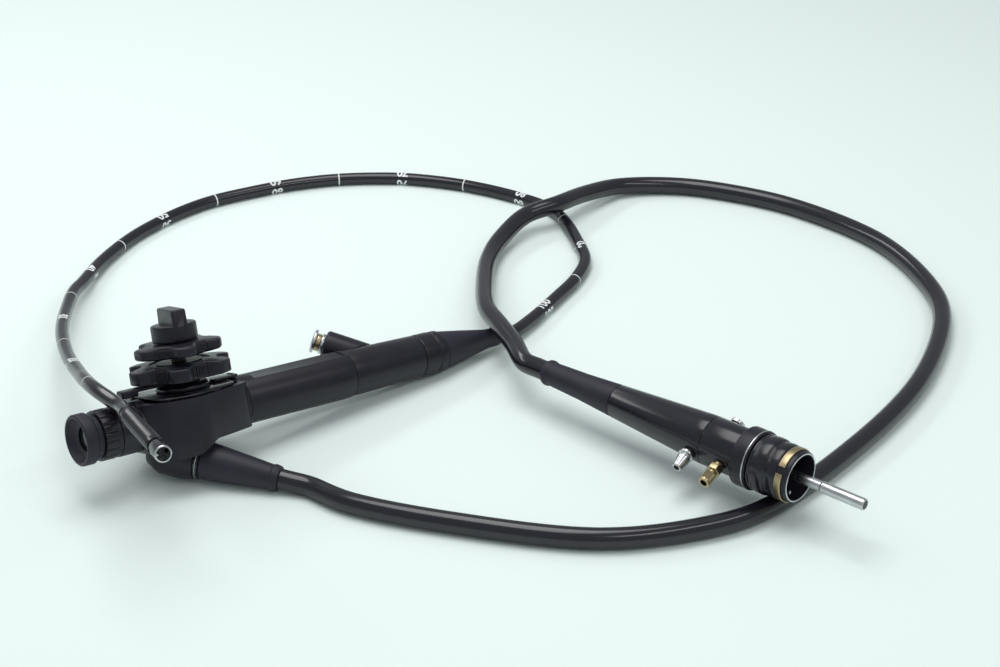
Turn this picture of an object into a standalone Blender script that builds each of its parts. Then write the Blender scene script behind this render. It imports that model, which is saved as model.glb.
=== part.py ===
"""Flexible endoscope lying on a table: control section, insertion tube, and cord with connector.

World +X runs along the control section from the eyepiece to the grip, level with the table, and +Z is up.
Every length below is in millimetres and is turned into metres where a mesh is made.
"""

import math

import bmesh
import bpy
from mathutils import Matrix, Vector

MM = 0.001
GAP = 0.3

# How the control section lies: its grip end low, and its wheels leaning back from the viewer.
NOSE_DOWN = 6.3
ROLL = -20.5

# Main axis of the control section, x from the eyepiece (-) to the insertion tube (+), wheel axis at 0.
EYE_FACE = -73.7
EYE_GROOVE = -66.0
RING_NEAR = -61.5
BARREL_NEAR = -50.1
HEAD_NEAR = -36.0
HEAD_FAR = 36.0
GRIP_STEP = 114.0
GRIP_END = 169.0
COLLAR_END = 181.0
LOCK_END = 187.0
BOOT_END = 236.3
BARREL_R = 15.3
NECK_R = 12.0
GRIP_R = 15.5
GRIP_BORE = 13.2
REAR_R = 14.75
REAR_END_R = 13.85
REAR_BORE = 12.0
TUBE_R = 4.5
CORD_R = 6.4

# Heights along the wheel axis.
RIM = 13.5
FLOOR = -11.5
PLATE_TOP = 15.5
COLLAR_TOP = 20.0
UD_LOW, UD_HIGH, UD_TIP, UD_VALLEY = 22.6, 32.6, 32.5, 23.0
LR_LOW, LR_HIGH, LR_TIP, LR_VALLEY = 36.5, 44.5, 27.0, 19.5
KNOB_LOW, KNOB_BASE, KNOB_TOP, KNOB_R = 45.0, 53.0, 64.6, 13.8
UD_SPOKE, LR_SPOKE = 2.6, -106.4
POST_R = 2.8
LR_SLEEVE_R = 4.4
UD_SLEEVE_R = 6.0
DRUM_R = 9.0
WIRE_R = 0.5

# Where the cord leaves the head, and which way.
ROOT_AT = Vector((-2.6, -11.2, -26.4))
ROOT_WAY = Vector((0.617, -0.7185, -0.320)).normalized()
ROOT_LENGTH = 51.8

# The port for instruments branches off the rear grip.
PORT_AT = Vector((143.5, 0.0, 0.0))
PORT_WAY = Vector((-0.7071, 0.5480, 0.4469)).normalized()
PORT_LENGTH = 48.0
BRANCH_R = 8.5

# Valves on the far side of the head.
VALVE_WALL = 28.0
SUCTION_X, WATER_X, VALVE_Z = -14.0, 8.0, 1.0
VALVE_TRAVEL = 4.0

# Bending section, in the control section's own axes: its ring's face, its direction and its roll.
BEND_AT = Vector((-54.8, -32.4, 14.8))
BEND_WAY = Vector((-0.2635, -0.9578, -0.1148)).normalized()
BEND_ROLL = 186.6
HINGES = 10
FIRST_HINGE = 5.0
PITCH = 7.3
TIP_LENGTH = 19.3
LINK_WALL = 1.0
UD_ROOM, LR_ROOM = 2.0, 1.3

# Connector, along its axis from the cord boot's shoulder, in world axes.
PLUG_AT = Vector((130.8, -70.1, 27.3))
PLUG_TURN = -79.1
PLUG_LIFT = 0.97
PLUG_BOOT = 57.0
PLUG_SEAM = 129.4
PLUG_BODY = 153.3
FLANGE_END = 164.7
COLLAR1_END = 174.0
COLLAR2_END = 182.0
BRASS_END = 188.7
CUP_MOUTH = 192.3
ROD_STEP = 206.9
ROD_END = 236.1
CUP_R, CUP_BORE = 15.75, 13.75

# Centre lines on the table, in world axes.
ON_TABLE = TUBE_R
INSERTION_ROUTE = [
    (190, 21, 5.5), (227, 38, ON_TABLE), (252, 50, ON_TABLE), (276, 68, ON_TABLE), (290, 92, ON_TABLE),
    (
        310, 145, ON_TABLE
    ), (304, 180, ON_TABLE), (286, 221, ON_TABLE), (264, 252, ON_TABLE), (246, 270, ON_TABLE),
    (
        214, 292, ON_TABLE
    ), (181, 306, ON_TABLE), (146, 314, ON_TABLE), (112, 318, ON_TABLE), (84, 315, ON_TABLE),
    (
        55, 307, ON_TABLE
    ), (35, 299, ON_TABLE), (16, 288, 5.0), (-5, 273, 6.0), (-31, 248, 9.5), (-43, 236, 12.0),
    (-60, 212, 16.0), (-85, 169, 25.0), (
        -106, 118, 36.0
    ), (-120, 71, 48.5), (-125, 53, 54.0), (-129, 31, 59.5),
]
CORD_ROUTE = [
    (-34, -91, CORD_R), (1, -144, CORD_R), (59, -209, CORD_R), (111, -236, CORD_R), (152, -244, CORD_R),
    (247, -228, CORD_R), (338, -197, CORD_R), (411, -150, CORD_R), (439, -115, CORD_R), (464, -42, CORD_R),
    (457, 36, CORD_R), (439, 81, CORD_R), (
        413, 119, CORD_R
    ), (374, 144, 8.0), (336, 142, 13.0), (302, 134, 17.0),
    (
        277, 138, 14.0
    ), (243, 125, 9.5), (219, 107, 8.5), (188, 71, 13.0), (160, 31, 19.5), (148, 1, 23.5), (138, -27, 25.5),
]

PARTS = "flexible_endoscope"


def clear_scene():
    for obj in list(bpy.data.objects):
        bpy.data.objects.remove(obj, do_unlink=True)


def finish(name, colour, roughness, metallic=0.0):
    """A Principled material."""
    made = bpy.data.materials.new(name)
    made.use_nodes = True
    shader = made.node_tree.nodes["Principled BSDF"]
    shader.inputs["Base Color"].default_value = (*colour, 1.0)
    shader.inputs["Roughness"].default_value = roughness
    shader.inputs["Metallic"].default_value = metallic
    made.diffuse_color = (*colour, 1.0)
    return made


def link(name, mesh):
    obj = bpy.data.objects.new(name, mesh)
    bpy.context.scene.collection.objects.link(obj)
    return obj


def baked(obj):
    """A plain mesh object in place of this one, with its modifiers applied and its faces turned outwards."""
    graph = bpy.context.evaluated_depsgraph_get()
    mesh = bpy.data.meshes.new_from_object(obj.evaluated_get(graph))
    work = bmesh.new()
    work.from_mesh(mesh)
    bmesh.ops.remove_doubles(work, verts=work.verts, dist=2e-6)
    bmesh.ops.recalc_face_normals(work, faces=work.faces)
    work.to_mesh(mesh)
    work.free()
    name = obj.name
    bpy.data.objects.remove(obj, do_unlink=True)
    return link(name, mesh)


def pointing(way, at=(0.0, 0.0, 0.0), roll=0.0):
    """The matrix that turns +Z towards way and moves the origin to a point given in mm."""
    turn = Vector((0.0, 0.0, 1.0)).rotation_difference(Vector(way)).to_matrix().to_4x4()
    return Matrix.Translation(Vector(at) * MM) @ turn @ Matrix.Rotation(math.radians(roll), 4, "Z")


ALONG_X = pointing((1.0, 0.0, 0.0))


def lathe(profile, steps=20, frame=Matrix()):
    """A turned solid from (radius, height) points: down the outer side, then up the bore if it has one."""
    solid = all(radius > 0 for radius, _ in profile)
    mesh = bpy.data.meshes.new("turned")
    points = [(radius * MM, 0.0, height * MM) for radius, height in profile]
    edges = [(i, i + 1) for i in range(len(points) - 1)]
    if solid:
        edges.append((len(points) - 1, 0))
    mesh.from_pydata(points, edges, [])
    obj = link("turned", mesh)
    screw = obj.modifiers.new("turn", "SCREW")
    screw.steps = steps
    screw.render_steps = steps
    screw.use_merge_vertices = True
    screw.merge_threshold = 1e-6
    obj = baked(obj)
    obj.data.transform(frame)
    return obj


def rod(start, end, radius, sides=14):
    """A plain cylinder between two points."""
    start, end = Vector(start), Vector(end)
    length = (end - start).length
    profile = [(0.0, length), (radius, length), (radius, 0.0), (0.0, 0.0)]
    return lathe(profile, sides, pointing((end - start).normalized(), start))


def block(low, high, frame=Matrix()):
    """A box between two opposite corners."""
    low, high = Vector(low) * MM, Vector(high) * MM
    work = bmesh.new()
    bmesh.ops.create_cube(work, size=1.0)
    size = high - low
    centre = (high + low) / 2
    for vert in work.verts:
        vert.co = Vector([vert.co[i] * size[i] + centre[i] for i in range(3)])
    mesh = bpy.data.meshes.new("block")
    work.to_mesh(mesh)
    work.free()
    mesh.transform(frame)
    return link("block", mesh)


def plate(outlines, low, high, bevel=0.0, frame=Matrix()):
    """Flat outlines, holes among them, made thick from low to high along Z, with rounded edges if asked."""
    curve = bpy.data.curves.new("plate", "CURVE")
    curve.dimensions = "2D"
    curve.fill_mode = "BOTH"
    curve.extrude = ((high - low) / 2 - bevel) * MM
    curve.bevel_depth = bevel * MM
    curve.bevel_resolution = 0
    curve.offset = -bevel * MM
    for outline in outlines:
        spline = curve.splines.new("POLY")
        spline.points.add(len(outline) - 1)
        for point, (x, y) in zip(spline.points, outline):
            point.co = (x * MM, y * MM, 0.0, 1.0)
        spline.use_cyclic_u = True
    obj = baked(link("plate", curve))
    obj.data.transform(frame @ Matrix.Translation((0.0, 0.0, (high + low) / 2 * MM)))
    return obj


def wire(points, radius, resolution=2):
    """A round wire through points in mm, its ends capped."""
    curve = bpy.data.curves.new("wire", "CURVE")
    curve.dimensions = "3D"
    curve.bevel_depth = radius * MM
    curve.bevel_resolution = resolution
    curve.use_fill_caps = True
    spline = curve.splines.new("POLY")
    spline.points.add(len(points) - 1)
    for point, place in zip(spline.points, points):
        point.co = (*(Vector(place) * MM), 1.0)
    return baked(link("wire", curve))


def joined(operation, target, others):
    """The target with the others united with it, cut from it, or kept in common with it."""
    for other in others:
        step = target.modifiers.new("step", "BOOLEAN")
        step.operation = operation
        step.solver = "EXACT"
        step.object = other
    target = baked(target)
    for other in others:
        bpy.data.objects.remove(other, do_unlink=True)
    return target


def united(target, *others):
    return joined("UNION", target, others)


def cut(target, *others):
    return joined("DIFFERENCE", target, others)


def kept(target, *others):
    return joined("INTERSECT", target, others)


def circle(radius, count=24, at=(0.0, 0.0)):
    """Points of a circular hole."""
    turns = [2 * math.pi * i / count for i in range(count)]
    return [(at[0] + radius * math.cos(t), at[1] + radius * math.sin(t)) for t in turns]


def rounded(corners, radius, count=3):
    """An outline with each corner cut back and rounded off."""
    points = []
    for i, corner in enumerate(corners):
        corner = Vector(corner)
        before = (Vector(corners[i - 1]) - corner).normalized()
        after = (Vector(corners[(i + 1) % len(corners)]) - corner).normalized()
        start = corner + before * radius
        end = corner + after * radius
        for k in range(count + 1):
            t = k / count
            mid = start * (1 - t) ** 2 + corner * 2 * t * (1 - t) + end * t * t
            points.append((mid.x, mid.y))
    return points


def lobed(lobes, tip, valley, turn, per_lobe=7):
    """The outline of a hand wheel with rounded lobes and hollow valleys."""
    points = []
    for i in range(lobes * per_lobe):
        phase = i / per_lobe
        share = 0.5 + 0.5 * math.cos(2 * math.pi * phase)
        radius = valley + (tip - valley) * share ** 0.8
        angle = math.radians(turn) + 2 * math.pi * phase / lobes
        points.append((radius * math.cos(angle), radius * math.sin(angle)))
    return points


def smooth_line(stops, spacing):
    """Evenly spread points on a smooth curve through the stops (a centripetal Catmull-Rom curve)."""
    stops = [Vector(stop) for stop in stops]
    line = [stops[0] * 2 - stops[1], *stops, stops[-1] * 2 - stops[-2]]
    dense = []
    for i in range(1, len(line) - 2):
        p0, p1, p2, p3 = line[i - 1 : i + 3]
        t1 = math.sqrt((p1 - p0).length)
        t2 = t1 + math.sqrt((p2 - p1).length)
        t3 = t2 + math.sqrt((p3 - p2).length)
        for k in range(16):
            t = t1 + (t2 - t1) * k / 16
            a1 = p0 * ((t1 - t) / t1) + p1 * (t / t1)
            a2 = p1 * ((t2 - t) / (t2 - t1)) + p2 * ((t - t1) / (t2 - t1))
            a3 = p2 * ((t3 - t) / (t3 - t2)) + p3 * ((t - t2) / (t3 - t2))
            b1 = a1 * ((t2 - t) / t2) + a2 * (t / t2)
            b2 = a2 * ((t3 - t) / (t3 - t1)) + a3 * ((t - t1) / (t3 - t1))
            dense.append(b1 * ((t2 - t) / (t2 - t1)) + b2 * ((t - t1) / (t2 - t1)))
    dense.append(stops[-1])
    lengths = [0.0]
    for a, b in zip(dense, dense[1:]):
        lengths.append(lengths[-1] + (b - a).length)
    count = max(2, round(lengths[-1] / spacing))
    points = []
    k = 0
    for i in range(count + 1):
        want = lengths[-1] * i / count
        while k < len(lengths) - 2 and lengths[k + 1] < want:
            k += 1
        share = (want - lengths[k]) / (lengths[k + 1] - lengths[k])
        points.append(dense[k].lerp(dense[k + 1], share))
    return points


def empty(name, parent=None, frame=Matrix()):
    obj = bpy.data.objects.new(name, None)
    obj.empty_display_size = 0.01
    bpy.context.scene.collection.objects.link(obj)
    obj.parent = parent
    obj.matrix_local = frame
    return obj


class Kit:
    """The materials, the collection of parts and the node list."""

    def __init__(self):
        self.collection = bpy.data.collections.new(PARTS)
        bpy.context.scene.collection.children.link(self.collection)
        self.black = finish("black_plastic", (0.012, 0.012, 0.013), 0.32)
        self.gloss = finish("black_gloss", (0.008, 0.008, 0.009), 0.12)
        self.rubber = finish("black_rubber", (0.014, 0.014, 0.015), 0.5)
        self.sheath = finish("sheath", (0.010, 0.010, 0.011), 0.28)
        self.white = finish("light_mark", (0.85, 0.85, 0.83), 0.4)
        self.steel = finish("steel", (0.62, 0.62, 0.63), 0.25, 1.0)
        self.brass = finish("brass", (0.80, 0.60, 0.28), 0.28, 1.0)
        self.glass = finish("dark_glass", (0.02, 0.03, 0.035), 0.05)
        self.nodes = {}

    def node(self, name, stuff, obj, parent, group="own"):
        """Files a finished shape as one of the object's nodes, keeping its own axes under its parent."""
        obj.name = name
        obj.data.name = name
        obj.data.materials.clear()
        obj.data.materials.append(stuff)
        for face in obj.data.polygons:
            face.use_smooth = True
            face.material_index = 0
        obj.data.set_sharp_from_angle(angle=math.radians(35))
        for owner in list(obj.users_collection):
            owner.objects.unlink(obj)
        self.collection.objects.link(obj)
        obj.parent = parent
        self.nodes[name] = (obj, group)
        return obj


def along(way, at, stations):
    """Points along a straight line, in mm."""
    return [Vector(at) + Vector(way) * s for s in stations]


def build_head(kit, control):
    """Casing, cover, chassis and the boss that the cord leaves by."""
    plan = rounded(
        [
            (-36, -14), (-26, -23), (-5, -29.5), (14, -24), (36, -16.5), (36, 16.5), (18, 28), (-22, 28),
            (-36, 14),
        ], 3.0, 2
    )
    side = rounded([(-36, RIM), (-36, -15), (-22, -22), (-8, -20.5), (4, -14), (36, -14), (36, RIM)], 1.5, 2)
    body = plate([plan], -26, RIM)
    across = Matrix.Rotation(math.radians(90), 4, "X")
    body = kept(body, plate([side], -40, 40, 0.0, across))
    collar = lathe(
        [(0, HEAD_NEAR + 9), (BARREL_R, HEAD_NEAR + 9), (BARREL_R, HEAD_NEAR), (0, HEAD_NEAR)], 22, ALONG_X
    )
    neck = lathe([(0, HEAD_FAR), (GRIP_R, HEAD_FAR), (GRIP_R, HEAD_FAR - 7), (0, HEAD_FAR - 7)], 22, ALONG_X)
    root = pointing(ROOT_WAY, ROOT_AT)
    boss = lathe([(0, -GAP), (12.6, -GAP), (14.2, -7), (14.2, -22), (10.0, -30), (0, -30)], 20, root)
    body = united(body, collar, neck, boss)
    body = cut(body, lathe([(0, 40), (13.0, 40), (13.0, -GAP), (0, -GAP)], 20, root))
    inside = rounded(
        [
            (-30, -12), (-24, -19.5), (-5, -26), (13, -21), (32, -11), (32, 11), (17, 24.5), (-20, 24.5),
            (-30, 12),
        ], 2.0, 1
    )
    cavity = plate([inside], FLOOR, RIM + 5)
    near_bore = rod((HEAD_NEAR - 2, 0, 0), (-28, 0, 0), 9.2)
    far_bore = rod((28, 0, 0), (HEAD_FAR + 2, 0, 0), REAR_BORE, 20)
    foot = along(ROOT_WAY, ROOT_AT, (2, -29))
    root_bore = rod(foot[0], foot[1], 3.4, 12)
    rise = rod((-21, 10.5, -18.5), (-17.5, 10.5, -8), 3.4, 12)
    wells = [rod((x, 20, VALVE_Z), (x, VALVE_WALL + 3, VALVE_Z), 6.4, 16) for x in (SUCTION_X, WATER_X)]
    body = cut(body, cavity, near_bore, far_bore, root_bore, rise, *wells)
    kit.node("control_casing", kit.black, body, control)

    lid = rounded(
        [(-26, -20), (-5, -27.5), (13, -22.5), (27.5, -17), (27.5, 17), (17, 26), (-21, 26), (-26, 22)],
        3.0, 2,
    )
    cover = plate([lid, circle(6.6, 20)], RIM + GAP, PLATE_TOP, 0.4)
    strip = rounded([(17.5, -7.5), (36, -5.5), (36, 5.5), (17.5, 7.5)], 2.0, 2)
    under = block((18.5, -5, PLATE_TOP - 0.6), (28, 5, PLATE_TOP + 0.9))
    cover = united(cover, plate([strip], PLATE_TOP + GAP, PLATE_TOP + 2.0, 0.4), under)
    kit.node("casing_cover", kit.black, cover, control)
    kit.node("chassis_plate", kit.steel, block((-24, -9, -6.5), (GRIP_STEP + 4, 9, -5.0)), control)

    turned = lathe([(12.2, 3.0), (12.4, GAP / 3), (5.0, GAP / 3), (5.0, 3.0)], 20, root)
    kit.node("cord_root_ring", kit.steel, turned, control)
    boot = [
        (7.5, ROOT_LENGTH), (8.0, 49.5), (8.3, 47.5), (7.7, 46), (9.2, 32), (11.2, 12), (11.9, 3.0 + GAP)
    ]
    boot += [(5.0, 3.0 + GAP), (5.0, ROOT_LENGTH)]
    kit.node("cord_root_boot", kit.rubber, lathe(boot, 20, root), control)
    return root


def build_wheels(kit, control):
    """The post, both hand wheels with their shafts and drums, and both brakes. All turn about the wheel axis."""
    hub = empty("wheel_axis", control)
    bottom = -5.0 + GAP
    post = [(0, 54), (POST_R, 54), (POST_R, 44.4), (11.8, 44.4), (11.8, 41.5), (POST_R, 41.5)]
    post = lathe(post + [(POST_R, bottom + 2), (9, bottom + 2), (9, bottom), (0, bottom)], 20)
    kit.node("knob_post", kit.steel, post, control)
    seat = lathe([(14.5, COLLAR_TOP), (16.5, COLLAR_TOP - 2), (16.5, PLATE_TOP + GAP), (6.4, PLATE_TOP + GAP), (6.4, COLLAR_TOP)])
    seat = cut(seat, block((17.0, -8, 0), (20, 8, 30)))
    kit.node("wheel_seat", kit.black, seat, control)

    sleeve_in = POST_R + GAP
    lr = plate([lobed(5, LR_TIP, LR_VALLEY, LR_SPOKE), circle(sleeve_in, 16)], LR_LOW, LR_HIGH, 1.6)
    tube = [(LR_SLEEVE_R, LR_LOW + 1), (LR_SLEEVE_R, -1.5), (sleeve_in, -1.5), (sleeve_in, LR_LOW + 1)]
    lr = united(lr, lathe(tube, 16))
    lr = cut(lr, lathe([(0, LR_HIGH + 1), (12.2, LR_HIGH + 1), (12.2, 41.2), (0, 41.2)], 24))
    drum = [(DRUM_R, 3.5), (DRUM_R, -1.5), (sleeve_in + 0.4, -1.5), (sleeve_in + 0.4, 3.5)]
    kit.node("lr_wheel", kit.black, united(lr, lathe(drum, 24)), hub)

    sleeve_in = LR_SLEEVE_R + GAP
    ud = plate([lobed(6, UD_TIP, UD_VALLEY, UD_SPOKE), circle(sleeve_in, 16)], UD_LOW, UD_HIGH, 1.8)
    tube = [(UD_SLEEVE_R, UD_LOW + 4.5), (UD_SLEEVE_R, 5.5), (sleeve_in, 5.5), (sleeve_in, UD_LOW + 4.5)]
    ring = lathe([(13.6, 26.0), (13.6, UD_LOW - 1), (UD_SLEEVE_R + 2 * GAP, UD_LOW - 1), (UD_SLEEVE_R + 2 * GAP, 26.0)], 24)
    ud = cut(ud, ring)
    ud = united(ud, lathe(tube, 16))
    drum = [(DRUM_R, 11.0), (DRUM_R, 6.0), (sleeve_in + 0.4, 6.0), (sleeve_in + 0.4, 11.0)]
    kit.node("ud_wheel", kit.black, united(ud, lathe(drum, 24)), hub)
    bore = UD_SLEEVE_R + 3 * GAP
    disc = [(13.2, 25.6), (13.2, UD_LOW + GAP), (bore, UD_LOW + GAP), (bore, 25.6)]
    kit.node("ud_brake_disc", kit.steel, lathe(disc, 20), control)

    low, high = COLLAR_TOP + GAP, UD_LOW - GAP
    arm = rounded([(-8, -5), (-30, -4.2), (-42, -4.8), (-42, 4.8), (-30, 4.2), (-8, 5)], 1.5, 2)
    lever = plate([arm], low, high, 0.4)
    paddle = rounded([(-31, -4.2), (-42, -4.8), (-42, 4.8), (-31, 4.2)], 1.5, 2)
    lever = united(
        lever, plate([paddle], low - 2.4, high - 0.2, 0.6),
        lathe([(11, high), (11, low), (3, low), (3, high)], 24),
    )
    lever = cut(lever, rod((0, 0, low - 3), (0, 0, high + 3), UD_SLEEVE_R + GAP, 20))
    kit.node("ud_brake_lever", kit.black, lever, hub)

    base = lathe([(KNOB_R - 1.2, KNOB_BASE), (KNOB_R, KNOB_BASE - 1.5), (KNOB_R, KNOB_LOW), (2, KNOB_LOW), (2, KNOB_BASE)])
    turn = Matrix.Rotation(math.radians(-98.0), 4, "Z")
    bar = rounded([(-14.0, -4.75), (14.0, -4.75), (14.0, 4.75), (-14.0, 4.75)], 1.6, 2)
    base = united(base, plate([bar], KNOB_LOW + 0.6, KNOB_TOP, 0.9, turn))
    base = cut(base, rod((0, 0, KNOB_LOW - 2), (0, 0, 54.5), POST_R + GAP, 16))
    kit.node("lr_brake_knob", kit.black, base, hub)

    for name, height, ends in (
        ("ud_pull_wire", 8.5, ((25, 8, 8), (118, 5, 6))), ("lr_pull_wire", 1.0, ((30, 8, 1), (118, 6, 1)))
    ):
        reach = DRUM_R + GAP + WIRE_R
        turns = [math.radians(90 + 22.5 * i) for i in range(9)]
        half = [(reach * math.cos(t), reach * math.sin(t), height) for t in turns]
        far = [ends[1], ends[0]]
        near = [(x, -y, z) for x, y, z in reversed(far)]
        kit.node(name, kit.steel, wire(far + half + near, WIRE_R, 0), control)


def build_valves(kit, control):
    """Both valve cylinders and their push buttons, on the far side."""
    for name, x, stuff in (("suction", SUCTION_X, kit.black), ("water", WATER_X, kit.steel)):
        frame = pointing((0, 1, 0), (x, 0, VALVE_Z))
        wall = [
            (7.2, 31.6), (7.2, VALVE_WALL + GAP), (6.0, VALVE_WALL + GAP), (6.0, 13.0), (4.4, 13.0),
            (4.4, 31.6),
        ]
        kit.node(name + "_cylinder", kit.steel, lathe(wall, 20, frame), control)
        top = 31.6 + VALVE_TRAVEL + 0.4
        cap = [
            (0, top + 3.2), (5.4, top + 3.2), (6.6, top + 2.2), (6.6, top), (4.1, top), (4.1, 17.5),
            (0, 17.5),
        ]
        kit.node(name + "_button", stuff, lathe(cap, 20, frame), control)


def build_eyepiece(kit, control):
    """Barrel, dioptre ring, eyecup, lens and the image guide behind it."""
    neck_end = -63.5
    barrel = [
        (BARREL_R, HEAD_NEAR - GAP), (BARREL_R, BARREL_NEAR), (NECK_R, BARREL_NEAR), (NECK_R, neck_end)
    ]
    barrel += [(9.2, neck_end), (9.2, HEAD_NEAR - GAP)]
    shape = united(
        lathe(barrel, 22, ALONG_X), block((BARREL_NEAR + 0.3, -2.2, 13.5), (BARREL_NEAR + 5, 2.2, 16.2))
    )
    kit.node("eyepiece_barrel", kit.black, shape, control)
    ribs = []
    for i in range(48):
        radius = BARREL_R - (1.1 if i % 3 == 2 else 0.1)
        angle = 2 * math.pi * i / 48
        ribs.append((radius * math.cos(angle), radius * math.sin(angle)))
    ring = plate([ribs, circle(NECK_R + GAP, 24)], RING_NEAR + GAP, BARREL_NEAR - GAP, 0.0, ALONG_X)
    axis = empty("eyepiece_axis", control)
    kit.node("dioptre_ring", kit.black, ring, axis)
    cup = [
        (NECK_R + GAP, RING_NEAR - GAP), (13.5, RING_NEAR - GAP), (13.5, EYE_GROOVE + 0.8),
        (15.5, EYE_GROOVE - 0.4),
    ]
    cup += [
        (15.5, EYE_FACE + 0.8), (14.6, EYE_FACE), (13.4, EYE_FACE), (10.6, -69.4), (7.3, -68.6),
        (7.3, -67.9),
    ]
    cup += [(8.5, -67.9), (8.5, neck_end - GAP), (NECK_R + GAP, neck_end - GAP)]
    kit.node("eyecup", kit.rubber, lathe(cup, 22, ALONG_X), control)
    lens = [(0, -64.6), (8.2, -64.6), (8.2, -67.6), (7.0, -67.6), (4.0, -68.2), (0, -68.4)]
    kit.node("ocular_lens", kit.glass, lathe(lens, 20, ALONG_X), control)


def build_grip(kit, control):
    """Grip shells, collar, ring and boot, with the instrument port."""
    front = [
        (GRIP_R, GRIP_STEP), (GRIP_R, HEAD_FAR + GAP), (GRIP_BORE, HEAD_FAR + GAP), (GRIP_BORE, GRIP_STEP)
    ]
    facet = Matrix.Rotation(math.radians(-28), 4, "X")
    shave = block((44, -20, 14.5), (111, 20, 22), facet)
    kit.node("grip_front", kit.black, cut(lathe(front, 20, ALONG_X), shave), control)
    start = GRIP_STEP + GAP
    rear = [
        (REAR_END_R, GRIP_END), (REAR_R, start + 8), (REAR_R, start), (REAR_BORE, start),
        (REAR_BORE, GRIP_END),
    ]
    inner, outer = along(PORT_WAY, PORT_AT, (4, 25))
    rear_shell = cut(lathe(rear, 20, ALONG_X), rod(inner, outer, 2.3, 12))
    kit.node("grip_rear", kit.black, rear_shell, control)
    port = pointing(PORT_WAY, PORT_AT)
    branch = [(7.6, 40), (BRANCH_R, 37), (BRANCH_R + 0.5, 12), (2.3, 12), (2.3, 40)]
    around = rod((100, 0, 0), (190, 0, 0), REAR_R + GAP + 0.2, 24)
    kit.node("port_branch", kit.black, cut(lathe(branch, 24, port), around), control)
    end = PORT_LENGTH
    mouth = [
        (6.2, end), (7.7, end - 0.8), (7.7, end - 2.2), (5.2, end - 2.8), (5.2, 42.6), (6.6, 42.0),
        (6.6, 40 + GAP),
    ]
    mouth += [(2.1, 40 + GAP), (2.1, end - 1.5), (2.6, end)]
    kit.node("instrument_port", kit.steel, lathe(mouth, 24, port), control)
    collar = [(13.2, LOCK_END), (13.6, LOCK_END - 0.7), (13.6, COLLAR_END + 0.8), (13.0, COLLAR_END + 0.2)]
    collar += [
        (13.0, COLLAR_END - 0.4), (13.9, COLLAR_END - 1), (13.9, GRIP_END + 1.3), (13.6, GRIP_END + GAP)
    ]
    collar += [(9, GRIP_END + GAP), (8, LOCK_END)]
    kit.node("grip_collar", kit.gloss, lathe(collar, 22, ALONG_X), control)
    boot = [
        (5.7, BOOT_END), (6.3, BOOT_END - 2), (6.3, BOOT_END - 9), (7.2, 222), (9.6, 208),
        (12.9, LOCK_END + GAP),
    ]
    boot += [(7, LOCK_END + GAP), (4.2, 206), (4.2, BOOT_END)]
    kit.node("insertion_boot", kit.rubber, lathe(boot, 20, ALONG_X), control)


def build_bundles(kit, control):
    """What runs through the control section: image guide, light guide and instrument channel."""
    image = [
        (-63, 0, 0), (-45, 0, -1), (-36, -2, -3.2), (-30, -3.2, -6.4), (-25.5, -4, -8.6), (150, -4, -8.6)
    ]
    image += [(180, -2.6, -4), (205, -1.9, -1.5), (232, -1.9, -1.5)]
    kit.node("image_guide", kit.rubber, wire(image, 1.5, 1), control)
    light = along(ROOT_WAY, ROOT_AT, (-1, -14, -23)) + [
        (-19.6, 9.8, -14.6), (-17, 10.5, -10.6), (-9, 9, -8.8)
    ]
    light += [
        (10, 5.5, -8.7), (40, 4.5, -8.6), (150, 4.5, -8.6), (180, 3.3, -4.2), (205, 2.1, -1.1),
        (232, 2.1, -1.1),
    ]
    kit.node("light_guide", kit.steel, wire(light, 1.5, 1), control)
    channel = along(PORT_WAY, PORT_AT, (39.4, 9)) + [(142, 1.6, 1.5), (150, 0.2, 1.6), (165, -0.7, 2.1)]
    channel += [(185, -0.7, 2.2), (232, -0.7, 2.2)]
    kit.node("instrument_channel", kit.steel, wire(channel, 1.6, 1), control)


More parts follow.
